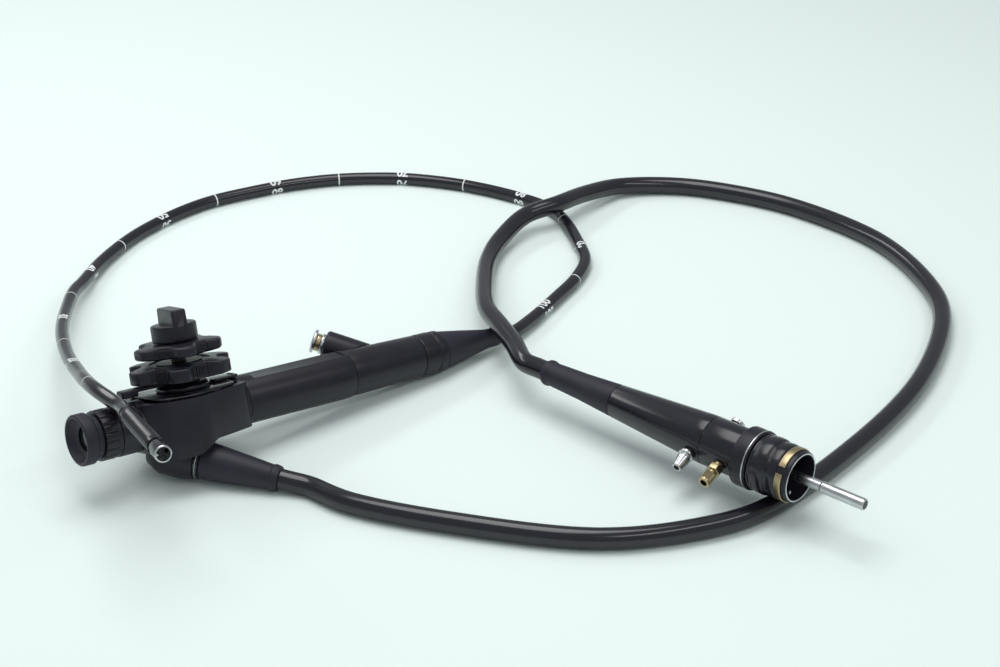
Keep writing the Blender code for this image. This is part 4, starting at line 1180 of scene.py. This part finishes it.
@dataclass
class Connector:
    """The connector at the cord's far end, turned about its own axis.

    Attributes:
        boot: The boot's end.
        seam: The seam between sleeve and body.
        body_end: The body's end.
        flange_end: The flange's end.
        mouth: The cup's mouth.
        rod_end: The rod's end.
        suction_at: The suction nozzle's place along the axis.
        air_at: The air nozzle's place.
        low_at: The low fitting's place.
        vent_at: The vent's place.
        suction_way: Where the suction nozzle points.
        air_way: Where the air nozzle points.
        low_way: Where the low fitting points.
        vent_way: Where the vent points.
    """

    boot: float = 57.0
    seam: float = 129.4
    body_end: float = 153.3
    flange_end: float = 164.7
    mouth: float = 192.3
    rod_end: float = 236.1
    suction_at: Point3 = (121, 0, 0)
    air_at: Point3 = (143.5, 0, 0)
    low_at: Point3 = (136.5, 0, 0)
    vent_at: Point3 = (159, 0, 0)
    suction_way: Vector = field(default_factory=lambda: Vector((0.09, -0.957, -0.28)).normalized())
    air_way: Vector = field(default_factory=lambda: Vector((0.056, -0.96, -0.274)).normalized())
    low_way: Vector = field(default_factory=lambda: Vector((0.0, 0.88, 0.475)).normalized())
    vent_way: Vector = field(default_factory=lambda: Vector((0.0, 0.948, 0.318)).normalized())

    def build(self) -> None:
        """Builds and dresses the pieces."""
        place = PLACE.plug()
        axis = place @ ALONG_X
        boot = [
            (10.5, self.boot), (8.6, 30), (7.6, 5.5), (8.3, 4), (8.3, 1.5), (7.2, 0), (6.7, 0),
            (6.7, self.boot),
        ]
        Bench.lathed("plug_boot", boot, 1.0, 96, axis, FINISH.rubber, "connector_boot")
        self._shells(place)
        self._collars(axis)
        self._nozzles(place)
        self._front(place, axis)

    def _shells(self, place: Matrix) -> None:
        """Models the polished sleeve, the body and the flange.

        Args:
            place: The connector's matrix.
        """
        sleeve = [
            (15.3, self.seam), (15.1, 123), (14.2, 110), (10.6, self.boot + CLEARANCE),
            (6, self.boot + CLEARANCE), (12.6, self.seam),
        ]
        shell = Bench.turned(eased(sleeve, 0.5), 128, ALONG_X)
        inner, outer = along(self.suction_way, self.suction_at, 8, 20)
        Bench.combine(shell, "DIFFERENCE", rod(inner, outer, 3.4))
        shell.data.transform(place)
        Bench.dressed(shell, "plug_sleeve", FINISH.gloss, nodes=("connector_sleeve",), angle=24.0)
        low = self.seam + CLEARANCE
        body = [(15.3, self.body_end), (15.3, low), (12.6, low), (12.6, self.body_end)]
        shell = Bench.turned(eased(body, 0.3), 128, ALONG_X)
        inner, outer = along(self.air_way, self.air_at, 8, 20)
        Bench.combine(shell, "DIFFERENCE", rod(inner, outer, 3.5))
        shell.data.transform(place)
        Bench.dressed(shell, "plug_body", FINISH.gloss, nodes=("connector_body",))
        flange = [
            (18.0, self.flange_end), (18.35, self.flange_end - 0.8), (18.35, self.body_end + 1.1),
            (17.6, self.body_end + CLEARANCE), (12.6, self.body_end + CLEARANCE), (12.6, self.flange_end),
        ]
        Bench.lathed(
            "plug_flange", flange, 0.6, 128, place @ ALONG_X, FINISH.plastic, "connector_flange"
        )

    def _collars(self, axis: Matrix) -> None:
        """Models the thin bright edge, the stepped collar and the split brass band.

        Args:
            axis: The connector's axis along Z.
        """
        low, high = self.flange_end - 2.0, self.flange_end - 1.2
        edge = [(18.55, high), (18.55, low), (18.1, low), (18.1, high)]
        Bench.lathed("flange_edge", edge, 0.2, 128, axis, FINISH.steel)
        rim = [
            (16.1, 184), (16.7, 183.4), (17.0, 181.6), (16.9, 178.4), (16.4, 177.4), (16.4, 176.4),
            (17.4, 175.4), (17.7, 173.2), (17.6, 169.6), (17.0, 168.4), (16.8, 167.2), (17.2, 166.4),
            (17.2, 165.4), (16.7, 165), (16.05, 165), (16.05, 184),
        ]
        Bench.lathed("plug_collar", rim, 0.5, 128, axis, FINISH.gloss, "connector_collar")
        band = [(16.6, 189.0), (16.8, 188.4), (16.8, 184.6), (16.05, 184.3), (16.05, 189.0)]
        band = Bench.turned(eased(band, 0.3), 128, ALONG_X)
        for degrees in (145, -35):
            turn = Matrix.Rotation(math.radians(degrees), 4, "X")
            Bench.combine(band, "DIFFERENCE", box((181, 14, -2.2), (190, 19, 2.2), turn))
        band.data.transform(PLACE.plug())
        Bench.dressed(band, "split_band", FINISH.brass, nodes=("brass_band",))

    def _nozzles(self, place: Matrix) -> None:
        """Models the suction nozzle, the threaded air nozzle and the two low fittings.

        Args:
            place: The connector's matrix.
        """
        fitting = [
            (2.4, 28.8), (2.9, 28.4), (4.2, 20.9), (4.2, 20.0), (3.3, 19.6), (3.3, 18.7), (4.9, 18.3),
            (4.9, 16.4), (3.1, 16.2), (3.1, 11), (1.9, 11), (1.9, 28.8),
        ]
        spout = place @ pointing(self.suction_way, self.suction_at)
        Bench.lathed("suction_spout", fitting, 0.3, 48, spout, FINISH.steel, "suction_nozzle")
        thread: Outline = [(2.7, 31), (3.7, 30.8), (3.8, 29.6)]
        for k in range(6):
            thread += [(3.3, 29.2 - 1.0 * k), (3.75, 28.7 - 1.0 * k)]
        thread += [(2.9, 23.0), (2.9, 21.9), (3.3, 21.7), (3.3, 11.5), (2.3, 11.5), (2.3, 31)]
        spout = place @ pointing(self.air_way, self.air_at)
        nozzle = Bench.turned(thread, 48)
        nut = Bench.slab(circle(4.7, 6), 17.0, 21.4, 0.4)
        Bench.combine(nut, "DIFFERENCE", rod((0, 0, 10), (0, 0, 25), 3.0))
        nozzle = Bench.joined([nozzle, nut])
        nozzle.data.transform(spout)
        Bench.dressed(nozzle, "air_spout", FINISH.brass, nodes=("air_nozzle",))
        low = [(2.4, 18.6), (4.4, 18.0), (4.4, 15.9), (3.0, 15.8), (3.0, 13.0), (1.4, 13.0), (1.4, 18.6)]
        spout = place @ pointing(self.low_way, self.low_at)
        Bench.lathed("water_fitting", low, 0.3, 48, spout, FINISH.steel)
        vent = [(1.8, 20.6), (3.8, 20.2), (3.8, 17.2), (2.6, 17.0), (2.6, 14.5), (1.2, 14.5), (1.2, 20.6)]
        spout = place @ pointing(self.vent_way, self.vent_at)
        Bench.lathed("vent_fitting", vent, 0.3, 48, spout, FINISH.steel)

    def _front(self, place: Matrix, axis: Matrix) -> None:
        """Models the cup, the stepped rod, its glass end and the contact pin.

        Args:
            place: The connector's matrix.
            axis: Its axis along Z.
        """
        cup = [
            (14.95, self.mouth), (15.75, self.mouth - 0.8), (15.75, 165), (3.4, 165), (3.4, 178),
            (13.75, 178), (13.75, self.mouth),
        ]
        Bench.lathed("cup", cup, 0.4, 128, axis, FINISH.plastic, "connector_cup")
        low, high = self.mouth - 0.3, self.mouth + 0.02
        lip = [(14.2, high), (14.9, high), (15.1, low), (14.2, low)]
        Bench.lathed("mouth_edge", lip, 0.1, 128, axis, FINISH.steel)
        guide = [
            (3.1, self.rod_end), (3.5, self.rod_end - 0.6), (3.5, 207.5), (3.1, 206.9), (3.1, 165),
            (1.8, 165), (1.8, self.rod_end - 4), (2.5, self.rod_end - 4), (2.5, self.rod_end),
        ]
        Bench.lathed("guide_rod", guide, 0.25, 64, axis, FINISH.steel, "light_guide_rod")
        glass = [
            (0, self.rod_end - 0.3), (2.3, self.rod_end - 0.3), (2.3, self.rod_end - 3.6),
            (0, self.rod_end - 3.6),
        ]
        Bench.lathed("rod_end_glass", glass, 0.2, 48, axis, FINISH.glass, "rod_glass")
        pin = place @ Matrix.Translation((0, -5.0 * MM, -9.0 * MM)) @ ALONG_X
        shape = [(0.45, 189), (1.1, 189), (1.1, 178.3), (0.45, 178.3)]
        Bench.lathed("pin", shape, 0.2, 32, pin, FINISH.steel, "contact_pin")


class CentreLine:
    """A smooth line through chosen stops, with its length and a frame at any place on it."""

    def __init__(self, stops: list[Vector], start: Vector, end: Vector, spacing: float = 0.004) -> None:
        """Samples the line.

        Args:
            stops: The stops, in metres.
            start: A point before them, joined by a straight.
            end: A point after them, joined by a straight.
            spacing: The distance between samples.
        """
        self.points = [start, *self._smooth(stops, spacing), end]
        self.lengths = [0.0]
        for a, b in zip(self.points, self.points[1:]):
            self.lengths.append(self.lengths[-1] + (b - a).length)
        self.length = self.lengths[-1]

    @staticmethod
    def _smooth(stops: list[Vector], spacing: float) -> list[Vector]:
        """Returns evenly spread points on a centripetal Catmull-Rom curve.

        Args:
            stops: The curve's stops.
            spacing: The distance between points.
        """
        line = [stops[0] * 2 - stops[1], *stops, stops[-1] * 2 - stops[-2]]
        dense: list[Vector] = []
        for i in range(1, len(line) - 2):
            p0, p1, p2, p3 = line[i - 1 : i + 3]
            t1 = math.sqrt((p1 - p0).length)
            t2 = t1 + math.sqrt((p2 - p1).length)
            t3 = t2 + math.sqrt((p3 - p2).length)
            for k in range(32):
                t = t1 + (t2 - t1) * k / 32
                a1 = p0 * ((t1 - t) / t1) + p1 * (t / t1)
                a2 = p1 * ((t2 - t) / (t2 - t1)) + p2 * ((t - t1) / (t2 - t1))
                a3 = p2 * ((t3 - t) / (t3 - t2)) + p3 * ((t - t2) / (t3 - t2))
                b1 = a1 * ((t2 - t) / t2) + a2 * (t / t2)
                b2 = a2 * ((t3 - t) / (t3 - t1)) + a3 * ((t - t1) / (t3 - t1))
                dense.append(b1 * ((t2 - t) / (t2 - t1)) + b2 * ((t - t1) / (t2 - t1)))
        dense.append(stops[-1])
        lengths = [0.0]
        for a, b in zip(dense, dense[1:]):
            lengths.append(lengths[-1] + (b - a).length)
        count = max(2, round(lengths[-1] / spacing))
        points: list[Vector] = []
        k = 0
        for i in range(count + 1):
            want = lengths[-1] * i / count
            while k < len(lengths) - 2 and lengths[k + 1] < want:
                k += 1
            points.append(dense[k].lerp(dense[k + 1], (want - lengths[k]) / (lengths[k + 1] - lengths[k])))
        return points

    def at(self, distance: float) -> tuple[Vector, Vector, Vector, Vector]:
        """Finds a place on the line.

        Args:
            distance: How far it is from the start, in metres.

        Returns:
            The point, the line's direction, the side direction and the upward direction there.
        """
        k = 0
        while k < len(self.lengths) - 2 and self.lengths[k + 1] < distance:
            k += 1
        a, b = self.points[k], self.points[k + 1]
        share = (distance - self.lengths[k]) / (self.lengths[k + 1] - self.lengths[k])
        low = self.points[max(0, k - 1)]
        high = self.points[min(len(self.points) - 1, k + 2)]
        way = (high - low).normalized()
        side = way.cross(Vector((0, 0, 1))).normalized()
        return a.lerp(b, share), way, side, side.cross(way)

    def tube(self, name: str, radius: float, finish: Finish) -> bpy.types.Object:
        """Makes a round curve object along the line.

        Args:
            name: The object's name.
            radius: Its radius, in millimetres.
            finish: Its finish.
        """
        curve = bpy.data.curves.new(name, "CURVE")
        curve.dimensions = "3D"
        curve.bevel_depth = radius * MM
        curve.bevel_resolution = 10
        curve.use_fill_caps = True
        spline = curve.splines.new("POLY")
        spline.points.add(len(self.points) - 1)
        for point, place in zip(spline.points, self.points):
            point.co = (*place, 1.0)
        spline.use_smooth = True
        obj = bpy.data.objects.new(name, curve)
        bpy.context.scene.collection.objects.link(obj)
        curve.materials.append(finish.material())
        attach(obj, FIXED)
        log.info("%s: %.3f m long", name, self.length)
        return obj


@dataclass
class InsertionTube:
    """The insertion tube with its depth marks.

    Attributes:
        radius: Its radius.
        boot_end: Where it leaves its boot, along the control section.
        bend_length: The length of the bending section and the tip.
        ring_width: The width of a printed ring.
        number_size: The height of the numbers' font.
        number_weight: How much the numbers are thickened.
        ink: The thickness of the print.
        ink_lift: How far the print's middle stands out of the tube.
        stops: The points it runs through, in metres.
    """

    radius: float = 4.5
    boot_end: float = 236.3
    bend_length: float = 90.0
    ring_width: float = 0.9
    number_size: float = 9.0
    number_weight: float = 0.28
    ink: float = 0.05
    ink_lift: float = 0.02
    stops: tuple[Point3, ...] = (
        (0.190, 0.021, 0.0055), (0.227, 0.038, 0.0045), (0.252, 0.050, 0.0045), (0.276, 0.068, 0.0045),
        (0.290, 0.092, 0.0045), (0.310, 0.145, 0.0045), (0.304, 0.180, 0.0045), (0.286, 0.221, 0.0045),
        (0.264, 0.252, 0.0045), (0.246, 0.270, 0.0045), (0.214, 0.292, 0.0045), (0.181, 0.306, 0.0045),
        (0.146, 0.314, 0.0045), (0.112, 0.318, 0.0045), (0.084, 0.315, 0.0045), (0.055, 0.307, 0.0045),
        (0.035, 0.299, 0.0045), (0.016, 0.288, 0.0050), (-0.005, 0.273, 0.0060), (-0.031, 0.248, 0.0095),
        (-0.043, 0.236, 0.0120), (-0.060, 0.212, 0.0160), (-0.085, 0.169, 0.0250), (-0.106, 0.118, 0.0360),
        (-0.120, 0.071, 0.0485), (-0.125, 0.053, 0.0540), (-0.129, 0.031, 0.0595),
    )

    def build(self) -> None:
        control, bend = PLACE.control(), PLACE.bend()
        start = [control @ (Vector((self.boot_end + x, 0, 0)) * MM) for x in (CLEARANCE, 6, 14)]
        end = [bend @ Vector((0, 0, z * MM)) for z in (-16, -7, 0)]
        line = CentreLine([*start[1:], *map(Vector, self.stops), *end[:2]], start[0], end[2])
        tube = line.tube("insertion_sheath", self.radius, FINISH.sheath)
        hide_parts("insertion_tube")
        self._marks(line)

    def _marks(self, line: CentreLine) -> None:
        """Prints numbers each 10 cm from the tip, and rings half-way between them.

        Args:
            line: The tube's centre line.
        """
        pieces = []
        for centimetres in range(15, 105, 5):
            distance = line.length - (centimetres * 0.01 - self.bend_length * MM)
            if not 0.02 < distance < line.length - 0.01:
                continue
            if centimetres % 10:
                pieces.append(self._ring(line, distance))
            else:
                for turn in (0, 120, 240):
                    pieces.append(self._number(line, distance, turn, str(centimetres)))
        Bench.dressed(Bench.joined(pieces), "depth_marks", FINISH.mark)

    def _wrapped(
        self, line: CentreLine, obj: bpy.types.Object, distance: float, turn: float
    ) -> bpy.types.Object:
        """Wraps a flat mesh round the tube.

        Args:
            line: The tube's centre line.
            obj: The mesh, in metres: X goes along the tube, Y round it and Z out of it.
            distance: The place of its origin along the line.
            turn: The place of its origin round the tube, in degrees.
        """
        for vert in obj.data.vertices:
            point, _, side, up = line.at(distance + vert.co.x)
            angle = math.radians(turn) + vert.co.y / (self.radius * MM)
            out = self.radius * MM + vert.co.z
            vert.co = point + (up * math.cos(angle) - side * math.sin(angle)) * out
        return obj

    def _ring(self, line: CentreLine, distance: float) -> bpy.types.Object:
        """Makes a printed ring.

        Args:
            line: The tube's centre line.
            distance: Its place along the line.
        """
        count = 48
        Bench.clear()
        bpy.ops.mesh.primitive_grid_add(x_subdivisions=1, y_subdivisions=count, size=1.0)
        obj = bpy.context.object
        whole = 2 * math.pi * self.radius * MM
        for vert in obj.data.vertices:
            vert.co = (vert.co.x * self.ring_width * MM, vert.co.y * whole, self.ink_lift * MM)
        self._wrapped(line, obj, distance, 0.0)
        return self._thick(obj)

    def _number(self, line: CentreLine, distance: float, turn: float, words: str) -> bpy.types.Object:
        """Makes a printed number that reads along the tube.

        Args:
            line: The tube's centre line.
            distance: Its place along the line.
            turn: Its place round the tube, in degrees.
            words: The number.
        """
        Bench.clear()
        bpy.ops.object.text_add()
        obj = bpy.context.object
        obj.data.body = words
        obj.data.size = self.number_size * MM
        obj.data.align_x = "CENTER"
        obj.data.align_y = "CENTER"
        obj.data.offset = self.number_weight * MM
        bpy.ops.object.convert(target="MESH")
        obj = bpy.context.object
        bpy.ops.object.mode_set(mode="EDIT")
        bpy.ops.mesh.select_all(action="SELECT")
        bpy.ops.mesh.remove_doubles(threshold=1e-6)
        for cut in range(-8, 9):
            bpy.ops.mesh.select_all(action="SELECT")
            bpy.ops.mesh.bisect(plane_co=(0, cut * 0.0005, 0), plane_no=(0, 1, 0))
        bpy.ops.object.mode_set(mode="OBJECT")
        for vert in obj.data.vertices:
            vert.co.z = self.ink_lift * MM
        self._wrapped(line, obj, distance, turn)
        return self._thick(obj)

    def _thick(self, obj: bpy.types.Object) -> bpy.types.Object:
        """Gives a printed mark the thickness of ink and closes it.

        Args:
            obj: The mark.
        """
        Bench.only(obj)
        bpy.ops.object.mode_set(mode="EDIT")
        Bench.close(2e-6)
        solid = obj.modifiers.new("ink", "SOLIDIFY")
        solid.thickness = self.ink * MM
        solid.offset = 0.0
        bpy.ops.object.modifier_apply(modifier=solid.name)
        return obj


@dataclass
class UniversalCord:
    """The cord from the head's root to the connector.

    Attributes:
        radius: Its radius.
        root_length: The length of the root's boot.
        stops: The points it runs through, in metres.
    """

    radius: float = 6.4
    root_length: float = 51.8
    stops: tuple[Point3, ...] = (
        (-0.034, -0.091, 0.0064), (0.001, -0.144, 0.0064), (0.059, -0.209, 0.0064), (0.111, -0.236, 0.0064),
        (0.152, -0.244, 0.0064), (0.247, -0.228, 0.0064), (0.338, -0.197, 0.0064), (0.411, -0.150, 0.0064),
        (0.439, -0.115, 0.0064), (0.464, -0.042, 0.0064), (0.457, 0.036, 0.0064), (0.439, 0.081, 0.0064),
        (0.413, 0.119, 0.0064), (0.374, 0.144, 0.0080), (0.336, 0.142, 0.0130), (0.302, 0.134, 0.0170),
        (0.277, 0.138, 0.0140), (0.243, 0.125, 0.0095), (0.219, 0.107, 0.0085), (0.188, 0.071, 0.0130),
        (0.160, 0.031, 0.0195), (0.148, 0.001, 0.0235), (0.138, -0.027, 0.0255),
    )

    def build(self) -> None:
        control, plug = PLACE.control(), PLACE.plug()
        stations = [self.root_length + ahead for ahead in (CLEARANCE, 8, 18)]
        out = along(PLACE.root_way, PLACE.root_at, *stations)
        start = [control @ (point * MM) for point in out]
        end = [plug @ Vector((x * MM, 0, 0)) for x in (-18, -8, -CLEARANCE)]
        line = CentreLine([*start[1:], *map(Vector, self.stops), *end[:2]], start[0], end[2])
        cord = line.tube("cord_sheath", self.radius, FINISH.sheath)
        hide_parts("universal_cord")


class InnerWorks:
    """The CAD nodes that stay as they are, inside the shells."""

    steel: tuple[str, ...] = (
        "chassis_plate", "ud_pull_wire", "lr_pull_wire", "instrument_channel", "light_guide",
        "bend_base_ring",
    )
    rubber: tuple[str, ...] = ("image_guide",)

    def dress(self) -> None:
        """Gives every node that is still shown a real finish."""
        for names, finish in ((self.steel + LINKS, FINISH.steel), (self.rubber, FINISH.rubber)):
            for name in names:
                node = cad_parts[name]
                node.data.materials.clear()
                node.data.materials.append(finish.material())
                log.info("%s: carried over in %s", name, finish.name)


@dataclass
class Studio:
    """Floor, lamps, world and camera.

    Attributes:
        floor_colour: The floor's colour, linear.
        floor_level: How high it lies.
        camera_at: The camera's place.
        heading: Where the camera looks, in degrees.
        tilt: How far it is tipped up from looking down, in degrees.
        lens: Its focal length, in millimetres.
        sensor: Its sensor's width, in millimetres.
        air_colour: The colour of the light from all round.
        air_strength: Its strength.
        aim: What the lamps face.
        lamps: Each lamp's name, place, size and power in watts.
    """

    floor_colour: Point3 = (0.830, 0.922, 0.890)
    floor_level: float = -0.0002
    camera_at: Point3 = (-0.58333, -0.95535, 0.685)
    heading: float = -37.4
    tilt: float = 61.0
    lens: float = 75.0
    sensor: float = 36.0
    air_colour: Point3 = (0.90, 0.96, 1.0)
    air_strength: float = 0.43
    aim: Point3 = (0.1, 0.0, 0.0)
    lamps: tuple[tuple[str, Point3, Point2, float], ...] = (
        ("top_softbox", (0.05, 0.20, 1.5), (1.2, 0.9), 12.4),
        ("far_strip", (-0.2, 1.15, 0.95), (1.4, 0.18), 4.6),
        ("near_strip", (0.25, -0.95, 1.1), (1.2, 0.12), 3.0),
    )

    def build(self) -> None:
        """Builds the studio round the object."""
        self._camera()
        self._floor()
        self._world()
        for lamp in self.lamps:
            self._lamp(*lamp)
        bpy.context.scene.view_settings.view_transform = "Standard"

    def _camera(self) -> None:
        """Sets the camera where the photograph's stood."""
        data = bpy.data.cameras.new("camera")
        data.lens = self.lens
        data.sensor_width = self.sensor
        data.sensor_fit = "HORIZONTAL"
        data.clip_start = 0.05
        camera = bpy.data.objects.new("camera", data)
        camera.location = self.camera_at
        camera.rotation_euler = (math.radians(self.tilt), 0.0, math.radians(self.heading))
        bpy.context.scene.collection.objects.link(camera)
        bpy.context.scene.camera = camera

    def _floor(self) -> None:
        """Lays a plain pale floor."""
        Bench.clear()
        bpy.ops.mesh.primitive_plane_add(size=30.0, location=(0, 0, self.floor_level))
        floor = bpy.context.object
        floor.name = "floor"
        made = bpy.data.materials.new("pale_floor")
        made.use_nodes = True
        shader = made.node_tree.nodes["Principled BSDF"]
        shader.inputs["Base Color"].default_value = (*self.floor_colour, 1.0)
        shader.inputs["Roughness"].default_value = 0.85
        floor.data.materials.append(made)

    def _world(self) -> None:
        """Lights the scene evenly from all round."""
        world = bpy.data.worlds.new("studio")
        world.use_nodes = True
        ground = world.node_tree.nodes["Background"]
        ground.inputs["Color"].default_value = (*self.air_colour, 1.0)
        ground.inputs["Strength"].default_value = self.air_strength
        bpy.context.scene.world = world

    def _lamp(self, name: str, at: Point3, size: Point2, power: float) -> None:
        """Hangs a softbox that faces the object.

        Args:
            name: Its name.
            at: Its place.
            size: Its width and height.
            power: Its power in watts.
        """
        data = bpy.data.lights.new(name, "AREA")
        data.shape = "RECTANGLE"
        data.size, data.size_y = size
        data.energy = power
        lamp = bpy.data.objects.new(name, data)
        lamp.location = at
        lamp.rotation_euler = (Vector(self.aim) - Vector(at)).to_track_quat("-Z", "Y").to_euler()
        bpy.context.scene.collection.objects.link(lamp)


def main() -> None:
    """Builds everything in order."""
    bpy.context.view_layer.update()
    Studio().build()
    casing = Casing()
    casing.build()
    WheelStack().build()
    Valve("suction", casing.valves[0], FINISH.plastic).build()
    Valve("water", casing.valves[1], FINISH.steel).build()
    Eyepiece().build()
    Grip().build()
    BendingSection().build()
    Connector().build()
    InsertionTube().build()
    UniversalCord().build()
    InnerWorks().dress()


if __name__ == "__main__":
    main()
